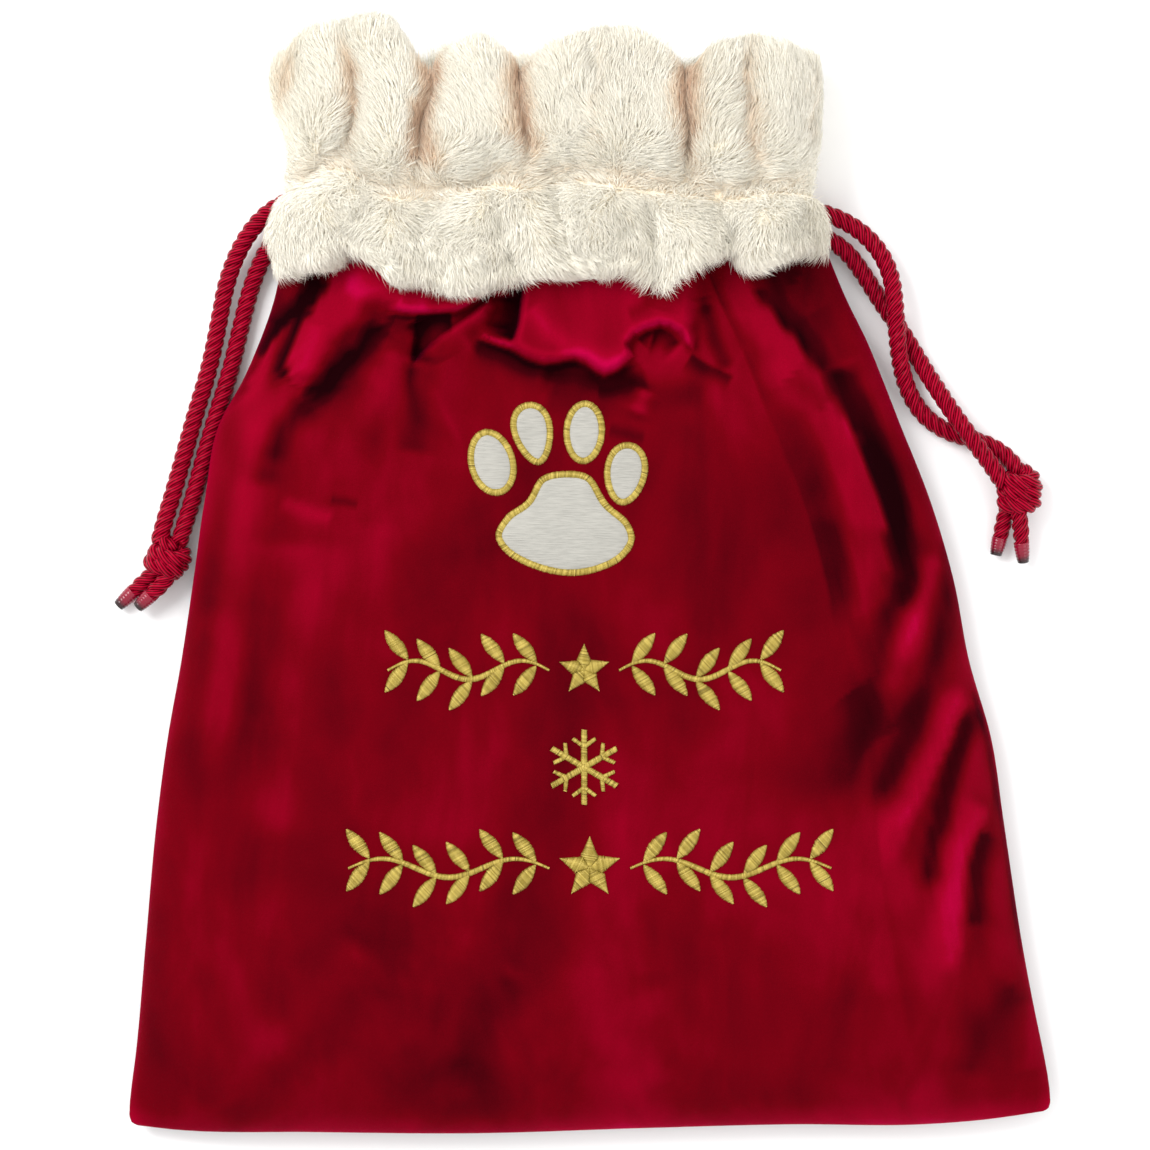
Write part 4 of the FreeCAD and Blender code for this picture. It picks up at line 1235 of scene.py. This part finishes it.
def cuff_grid():
    """The whole cuff as one closed band: outer face, mouth rim, inner face, lower rim."""
    across, rise = ring_columns()
    x = FUR_LEFT + (FUR_RIGHT - FUR_LEFT) * across
    front = smooth(-0.1, 0.5, rise)
    back_top = 275.0 + 3.6 * back_wave(across) + 1.8 * noise(x / 14.0, x / 40.0, 47)
    top = through(RUFFLE_TOP, x) * front + back_top * (1 - front)
    bottom = through(BAND_BOTTOM, x) * front + through(BACK_BOTTOM, x) * (1 - front)

    def wall(share, inner):
        return cuff_shape(across, rise, bottom + HEM + (top - RIM - bottom - HEM) * share[:, None], inner)

    outer = wall(np.linspace(0.0, 1.0, OUTER_ROWS), False)
    inner = wall(np.linspace(1.0, 0.0, INNER_ROWS), True)
    turns = ((outer[-1], inner[0], RIM, RIM_ROWS), (inner[-1], outer[0], -HEM, LOWER_RIM_ROWS - 1))
    rims = []
    for start, end, reach, count in turns:
        angle = np.linspace(0.0, math.pi, count + 2)[1:-1, None, None]
        middle, half = (start + end) / 2, (start - end) / 2
        rims.append(middle + half * np.cos(angle) + np.array([0.0, reach, 0.0]) * np.sin(angle))
    return np.concatenate([outer, rims[0], inner, rims[1]]), rise


def grid_normals(points):
    """Outward normals of a closed band of points, which wraps both ways."""
    down = np.roll(points, -1, axis=0) - np.roll(points, 1, axis=0)
    along = np.roll(points, -1, axis=1) - np.roll(points, 1, axis=1)
    normals = np.cross(along, down)
    return normals / np.maximum(np.linalg.norm(normals, axis=2), 1e-9)[:, :, None]


def groove_depth(points, rise):
    """How deep in a groove each point of the cuff lies, from 0 on a crest to 1."""
    x, y = points[..., 0], points[..., 1]
    skew = skewed(x, y)
    line = through(CASING_LINE, x)
    upper = smooth(line + 2.0, line + 18.0, y)
    hollow = 1.0 - through(RUFFLE_RISE, skew)
    deep = smooth(0.0, 0.78, hollow) * upper * smooth(292.0, 262.0, y)
    casing = 0.4 * np.exp(-((y - line) / 7.0) ** 2)
    return np.clip(deep + casing, 0.0, 1.0) * np.clip(rise, 0.0, 1.0)


def comb_direction(x, y, seed):
    """Which way the pile is brushed: up in the ruffle, down in the band, with swirls."""
    line = through(CASING_LINE, x)
    upward = 0.55 + 0.9 * smooth(line - 14.0, line + 50.0, y)
    upward = np.where(y > line - 6.0, upward, -0.75 - 0.35 * smooth(line - 20.0, 165.0, y))
    swirl = 1.5 * noise(x / 23.0, y / 27.0, seed) + 0.8 * noise(x / 8.0, y / 9.0, seed + 1)
    upward = upward + 0.45 * noise(x / 12.0, y / 12.0, seed + 2)
    return np.stack([swirl, upward, np.full(np.shape(x), -0.25)], axis=-1)


def strands(roots, normals, combs, lengths, widths):
    """Tapered three-sided hairs, each bending from upright towards its comb direction."""
    combs = combs - normals * np.sum(combs * normals, axis=1)[:, None]
    combs /= np.maximum(np.linalg.norm(combs, axis=1), 1e-9)[:, None]
    side = np.cross(normals, combs)
    count = len(roots)
    points = np.empty((count, HAIR_POINTS, 3))
    angle = np.arange(3) * 2 * math.pi / 3
    for ring, t in enumerate((0.0, 0.36, 0.72)):
        bend = normals * (0.62 * t - 0.34 * t * t) + combs * (0.30 * t + 0.56 * t * t)
        middle = roots + lengths[:, None] * bend
        lift = normals * (0.62 - 0.68 * t) + combs * (0.30 + 1.12 * t)
        lift /= np.linalg.norm(lift, axis=1)[:, None]
        over = np.cross(lift, side)
        width = (widths * (1.0 - 0.62 * t))[:, None]
        for k in range(3):
            out = side * math.cos(angle[k]) + over * math.sin(angle[k])
            points[:, 3 * ring + k] = middle + width * out
    points[:, 9] = roots + lengths[:, None] * (normals * 0.28 + combs * 0.86)
    base = (np.arange(count) * HAIR_POINTS)[:, None]
    quads, triangles = [], []
    for ring in range(2):
        for k in range(3):
            following = (k + 1) % 3
            low, high = 3 * ring, 3 * ring + 3
            quads.append(base + [low + k, low + following, high + following, high + k])
    for k in range(3):
        triangles.append(base + [6 + k, 6 + (k + 1) % 3, 9])
    triangles.append(base + [2, 1, 0])
    return points.reshape(-1, 3), np.concatenate(quads), np.concatenate(triangles)


def fur_cuff():
    """The cuff's backing, and its pile in pieces that each cover a stretch of it."""
    points, rise = cuff_grid()
    rows, columns = points.shape[:2]
    normals = grid_normals(points)
    rises = np.broadcast_to(rise, (rows, columns))
    grooves = groove_depth(points, rises)
    skin = make_mesh(
        "fur_backing", points.reshape(-1, 3), grid_quads(rows, columns, True, True)[:, ::-1],
        fields={"groove": grooves.ravel()},
    )
    dress(skin, LOOKS["skin"], None, ("fur_cuff_front", "fur_cuff_back"))
    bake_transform(skin)

    quads = grid_quads(rows, columns, True, True)
    row = quads[:, 0] // columns
    mouth_row = OUTER_ROWS + RIM_ROWS
    quads = quads[(row < mouth_row + INNER_PILE_ROWS) | (row >= rows - LOWER_RIM_ROWS)]
    row = quads[:, 0] // columns
    corners = points.reshape(-1, 3)[quads]
    area = np.linalg.norm(np.cross(corners[:, 2] - corners[:, 0], corners[:, 3] - corners[:, 1]), axis=1) / 2
    x, y = corners[..., 0].mean(axis=1), corners[..., 1].mean(axis=1)
    front = rises.ravel()[quads].mean(axis=1) > 0.0
    outside = (row < mouth_row) | (row >= rows - LOWER_RIM_ROWS)
    shell = (row < OUTER_ROWS - 2) | (row >= rows - LOWER_RIM_ROWS)
    ruffle = front & outside & (y > through(CASING_LINE, x))
    band = front & outside & ~ruffle
    # name, where, from x, to x, number of hairs, their length as a share
    parts = (
        ("ruffle_left", ruffle, -200.0, -88.0, 17000, 1.0),
        ("ruffle_middle_left", ruffle, -88.0, -36.0, 11500, 1.0),
        ("ruffle_middle_right", ruffle, -36.0, 50.0, 18000, 1.0),
        ("ruffle_right", ruffle, 50.0, 160.0, 16000, 1.0),
        ("band_left", band, -200.0, -40.0, 17000, 1.0), ("band_right", band, -40.0, 160.0, 18500, 1.0),
        ("mouth_front", front & ~outside, -200.0, 160.0, 8000, 0.6),
        ("mouth_back", ~front & ~shell, -200.0, 160.0, 34000, 1.0),
        ("behind", ~front & shell, -200.0, 160.0, 12000, 0.6),
    )
    flat_points, flat_normals, flat_grooves = points.reshape(-1, 3), normals.reshape(-1, 3), grooves.ravel()
    for number, (place, chosen, low, high, count, long) in enumerate(parts):
        rng = np.random.default_rng(700 + number)
        chances = np.where(chosen & (x >= low) & (x < high), area, 0.0)
        picked = quads[rng.choice(len(quads), count, p=chances / chances.sum())]
        s, t = rng.random((2, count, 1))
        shares = np.stack([(1 - s) * (1 - t), s * (1 - t), s * t, (1 - s) * t], axis=1)
        roots = np.sum(flat_points[picked] * shares, axis=1)
        out = np.sum(flat_normals[picked] * shares, axis=1)
        out /= np.linalg.norm(out, axis=1)[:, None]
        groove = np.sum(flat_grooves[picked] * shares[..., 0], axis=1)
        combs = comb_direction(roots[:, 0], roots[:, 1], 61)
        combs = combs + rng.normal(0.0, COMB_SCATTER, combs.shape)
        rim_pull = smooth(270.0, 292.0, roots[:, 1])[:, None]
        combs = combs + rim_pull * np.array([0.0, 0.6, -0.2])
        lengths = long * rng.uniform(*HAIR_LENGTH, count) * (1.0 - GROOVE_SHORTER * groove)
        widths = rng.uniform(*HAIR_WIDTH, count)
        # Painted shade: the pile's tone drops in the grooves between the lobes and along the casing line.
        tone = 0.90 - 0.85 * groove + rng.normal(0.0, 0.09, count)
        tone = np.clip(tone + 0.05 * noise(roots[:, 0] / 9.0, roots[:, 1] / 9.0, 67), 0, 1)
        hair, hair_quads, hair_triangles = strands(roots - out * 0.3, out, combs, lengths, widths)
        hair[:, 2] = np.maximum(hair[:, 2], 0.6)
        tip_lift = np.tile([-0.10] * 3 + [0.0] * 3 + [0.05] * 3 + [0.10], count)
        pile = make_mesh(
            "fur_pile_" + place, hair, hair_quads, hair_triangles,
            fields={"tone": np.repeat(tone, HAIR_POINTS) + tip_lift},
        )
        dress(pile, LOOKS["fur"])
        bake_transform(pile)


def casing_tapes():
    """The two tapes that close the drawcord channel."""
    for place, body, up in (("back", "sack_body", -1.0), ("front", "mouth_front", 1.0)):
        node = "casing_tape_" + place
        low, high = (np.array(corner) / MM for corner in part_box(node))
        xs = np.linspace(low[0], high[0], 110)
        share = np.linspace(0.0, 1.0, 26)
        ys = low[1] + (high[1] - low[1]) * share
        face = high[2] if up < 0 else low[2]
        other = low[2] if up < 0 else high[2]
        arch = 1.0 - np.abs(2 * share - 1) ** 7
        x, y = np.meshgrid(xs, ys)
        z = other + (face - other) * arch[:, None] + up * 0.35 * (1 + noise(x / 9.0, y / 13.0, 83))
        quads = grid_quads(*x.shape)
        piece = make_mesh("tape_" + place, np.stack([x, y, z], 2).reshape(-1, 3), quads)
        thicken(piece, 0.7)
        dress(piece, LOOKS["tape"], body, (node,))


# ---- embroidery and the paw applique -------------------------------------------------------------

STITCH_GAP = 0.56
THREAD_R = 0.33
THREAD_SIDES = 5
BED_COLUMNS = 7
PLUMP = 0.20                 # height of the stitching as a share of its width
# Painted shade and painted highlight across a stitch's width: darker where its ends dive into the cloth,
# darkest at its first row, brightest near its middle.
STITCH_SHADING = np.array([0.45, 0.92, 1.08, 1.0, 0.72])


def closed_curve(points, count):
    """A smooth closed curve through points."""
    knots = np.array(points, float)
    turn = np.arange(len(knots) + 6) - 3
    table = knots[turn % len(knots)]
    at = np.linspace(0.0, len(knots), count, endpoint=False)
    return np.stack([through(np.stack([turn, table[:, k]], 1), at) for k in (0, 1)], 1)


def inset(points, amount):
    """A closed clockwise outline moved inwards."""
    along = np.roll(points, -1, axis=0) - np.roll(points, 1, axis=0)
    inward = np.stack([along[:, 1], -along[:, 0]], 1)
    return points + amount * inward / np.linalg.norm(inward, axis=1)[:, None]


def satin(path, widths, rng, closed):
    """Satin stitch along a path: a raised bed, and close threads laid across it."""
    path, widths = np.array(path, float), np.asarray(widths, float)
    if closed:
        path, widths = np.vstack([path, path[:1]]), np.append(widths, widths[0])
    gaps = np.hypot(*np.diff(path, axis=0).T)
    reach = np.concatenate([[0.0], np.cumsum(gaps)])
    count = max(4, int(reach[-1] / STITCH_GAP))
    at = np.linspace(0.0, reach[-1], count, endpoint=not closed)
    x, y = (np.interp(at, reach, path[:, k]) for k in (0, 1))
    width = np.interp(at, reach, widths)
    step = np.roll(np.stack([x, y], 1), -1, axis=0) - np.roll(np.stack([x, y], 1), 1, axis=0)
    if not closed:
        step[0], step[-1] = step[1], step[-2]
    along = step / np.maximum(np.hypot(step[:, 0], step[:, 1]), 1e-9)[:, None]
    across = np.stack([-along[:, 1], along[:, 0]], 1)
    height = PLUMP * width + 0.25

    def layer(shares, wide, lift, slant, jitter):
        """Points across the path, rows by shares, at their heights over the velvet."""
        half = (width / 2 * wide)[:, None] * shares[None, :]
        if jitter:
            half = half * (1.0 + rng.normal(0.0, 0.035, (count, 1)))
        px = x[:, None] + across[:, :1] * half + along[:, :1] * half * slant
        py = y[:, None] + across[:, 1:] * half + along[:, 1:] * half * slant
        dome = 1.0 - np.abs(shares[None, :]) ** 2.6
        return np.stack([px, py, front_height(px, py) + lift + height[:, None] * dome], axis=2)

    bed = layer(np.linspace(-1.0, 1.0, BED_COLUMNS), 0.94, -0.30, 0.0, False)
    bed_quads = grid_quads(count, BED_COLUMNS, wrap_rows=closed)[:, ::-1]
    middles = layer(np.array([-1.0, -0.72, 0.0, 0.72, 1.0]), 1.0, 0.0, 0.16, True)
    middles[:, (0, 4), 2] -= 0.45
    angle = np.arange(THREAD_SIDES) * 2 * math.pi / THREAD_SIDES + 0.3
    radius = THREAD_R * (1.0 + rng.normal(0.0, 0.06, (count, 1, 1, 1)))
    ahead = np.concatenate([along, np.zeros((count, 1))], 1)[:, None, None, :]
    up = np.array([0.0, 0.0, 1.0])
    rings = middles[:, :, None, :] + radius * (
        np.cos(angle)[None, None, :, None] * ahead + np.sin(angle)[None, None, :, None] * up
    )
    one = grid_quads(len(STITCH_SHADING), THREAD_SIDES, wrap_columns=True)
    starts = np.arange(count) * len(STITCH_SHADING) * THREAD_SIDES
    threads = (one[None] + starts[:, None, None]).reshape(-1, 4)
    points = np.vstack([bed.reshape(-1, 3), rings.reshape(-1, 3)])
    quads = np.vstack([bed_quads, threads + count * BED_COLUMNS])
    shade = np.clip(rng.normal(0.58, 0.15, count), 0.1, 1.0)
    across_tone = shade[:, None, None] * STITCH_SHADING[None, :, None] * np.ones(THREAD_SIDES)
    # The bed's low tone makes it dark gold where it shows between the threads: painted shade.
    tone = np.concatenate([np.full(count * BED_COLUMNS, 0.12), across_tone.ravel()])
    return points, quads, tone


def stitched(name, strokes, seed, node):
    """One piece of gold embroidery from its satin strokes: path, widths and whether it closes."""
    rng = np.random.default_rng(seed)
    parts = [satin(path, widths, rng, closed) for path, widths, closed in strokes]
    points, quads, _ = joined([(points, quads, np.empty((0, 3), int)) for points, quads, _ in parts])
    tones = np.concatenate([tone for _, _, tone in parts])
    piece = make_mesh(name, points, quads, fields={"tone": tones})
    dress(piece, LOOKS["gold"], "sack_body", (node,))


# name, middle x, middle y, full width, full height, lean in degrees, how much wider at the top
TOES = [
    ("outer_left", -52.4, 59.2, 26.0, 37.0, 15.0, -0.03),
      ("inner_left", -30.4, 74.6, 22.6, 35.0, 12.0, 0.22),
    ("inner_right", -3.0, 75.3, 22.8, 34.7, -3.0, 0.03),
      ("outer_right", 19.2, 53.1, 23.8, 34.7, -8.0, 0.12),
]
MAIN_PAD = [
    (-12.7, 54.9), (0.6, 52.0), (9.7, 38.1), (20.9, 27.9), (24.2, 17.0), (17.0, 6.6),
    (3.0, 0.0), (-13.0, -1.8), (-30.0, 2.0), (-44.6, 9.8), (-50.8, 20.0), (-45.0, 31.0),
    (-34.2, 39.1), (-26.4, 51.6),
]
BORDER = 4.4


def toe_outline(x, y, width, height, lean, taper):
    """An oval, wider or narrower at its top."""
    angle = -np.linspace(0.0, 2 * math.pi, 90, endpoint=False)
    flat_x, flat_y = width / 2 * np.cos(angle), height / 2 * np.sin(angle)
    flat_x = flat_x * (1.0 + taper * flat_y / (height / 2))
    turn = math.radians(lean)
    return np.stack([
        x + flat_x * math.cos(turn) - flat_y * math.sin(turn),
        y + flat_x * math.sin(turn) + flat_y * math.cos(turn),
    ], 1)


def applique(name, outline, seed):
    """A padded satin patch and the satin-stitched border that holds it."""
    edge = inset(outline, BORDER - 0.9)
    middle = edge.mean(axis=0)
    share = np.concatenate([[0.0], np.linspace(0.06, 1.0, 34)])
    xy = middle + (edge - middle)[None] * share[:, None, None]
    ribs = 0.05 * np.sin(xy[..., 1] * 2 * math.pi / 1.5)
    crown = 1.3 * np.sqrt(np.clip(1.02 - share ** 5, 0.0, 1.0))[:, None]
    x, y = xy[..., 0], xy[..., 1]
    z = front_height(x, y) + 0.25 + crown + ribs + 0.12 * noise(x / 7, y / 7, 91)
    quads = grid_quads(*z.shape, wrap_columns=True)
    pad = make_mesh("pad_" + name, np.stack([x, y, z], axis=2).reshape(-1, 3), quads)
    dress(pad, LOOKS["pad"], "sack_body", ("paw_" + name,))
    line = inset(outline, BORDER / 2)
    strokes = [(line, np.full(len(line), BORDER - 0.3), True)]
    stitched("border_" + name, strokes, seed, "paw_" + name + "_border")


UPPER_Y = -52.0              # middles of the two rows of garland
LOWER_Y = -158.0
# name, inner end x, outer end x, middle y, pairs of leaves
GARLANDS = [
    ("upper_left", -22.0, -108.0, UPPER_Y, 5), ("upper_right", 16.0, 102.0, UPPER_Y, 5),
    ("lower_left", -22.0, -129.0, LOWER_Y, 6), ("lower_right", 22.0, 129.0, LOWER_Y, 6),
]
STEM_WAVE = 5.0
LEAF = 21.0
LEAF_WIDTH = 7.6
LEAF_SPREAD = 52.0


def spoke(x, y, heading, start, end, profile):
    """A straight stroke out from x, y, with its width from a function of the share of its run."""
    t = np.linspace(0.0, 1.0, 24)
    angle = math.radians(heading)
    run = start + (end - start) * t
    return np.stack([x + run * math.cos(angle), y + run * math.sin(angle)], 1), profile(t), False


def garland_strokes(inner, outer, y, pairs):
    """A waved stem with pairs of pointed leaves."""
    def stem(t):
        return inner + (outer - inner) * t, y + STEM_WAVE * np.sin(2 * math.pi * 1.5 * t)

    def leaf_width(t):
        return LEAF_WIDTH * np.sin(math.pi * (0.04 + 0.93 * t)) ** 0.8

    outward, mirror = (0.0, 1.0) if outer > inner else (180.0, -1.0)
    strokes = []
    for pair in range(pairs):
        x, root = stem((pair + 0.35) / pairs)
        for side in (1, -1):
            heading = outward + mirror * side * LEAF_SPREAD
            strokes.append(spoke(x, float(root), heading, 1.6, LEAF - 0.4, leaf_width))
    t = np.linspace(0.0, 1.0, 60)
    stem_width = 3.4 * np.sqrt(np.clip(np.sin(math.pi * (0.03 + 0.94 * t)), 0.2, 1.0))
    strokes.append((np.stack(stem(t), 1), stem_width, False))
    return strokes


def star_strokes(x, y, radius):
    """A five-pointed star, one stroke to each point."""
    def arm(t):
        return radius * 0.56 * np.where(t < 0.36, t / 0.36, (1.0 - t) / 0.64) + 0.5

    return [spoke(x, y, 90.0 + 72.0 * k, 0.0, radius - 0.4, arm) for k in range(5)]


def snow_strokes(x, y, radius):
    """A six-armed snowflake with a pair of branches on each arm."""
    strokes = []
    for arm in range(6):
        heading = 90.0 + 60.0 * arm
        angle = math.radians(heading)
        bx, by = x + 0.55 * radius * math.cos(angle), y + 0.55 * radius * math.sin(angle)
        for side in (1, -1):
            strokes.append(spoke(bx, by, heading + side * 55.0, 0.4, radius * 0.36, lambda t: 2.7 - 0.5 * t))
        strokes.append(spoke(x, y, heading, 0.3, radius - 0.2, lambda t: 3.7 - 0.4 * t))
    return strokes


def embroidery():
    for number, (name, *shape) in enumerate(TOES):
        applique("toe_" + name, toe_outline(*shape), 300 + number)
    applique("main_pad", closed_curve(MAIN_PAD, 220), 310)
    for number, (name, *shape) in enumerate(GARLANDS):
        stitched("garland_" + name, garland_strokes(*shape), 320 + number, "embroidered_garland_" + name)
    stitched("star_upper", star_strokes(-3.0, UPPER_Y, 14.0), 330, "embroidered_star_upper")
    stitched("star_lower", star_strokes(0.0, LOWER_Y, 17.0), 331, "embroidered_star_lower")
    stitched("snowflake", snow_strokes(-3.0, -104.0, 20.0), 332, "embroidered_snowflake")


# ---- the build --------------------------------------------------------------------------------

stage()
cords()
velvet()
lining()
seams()
fur_cuff()
casing_tapes()
embroidery()
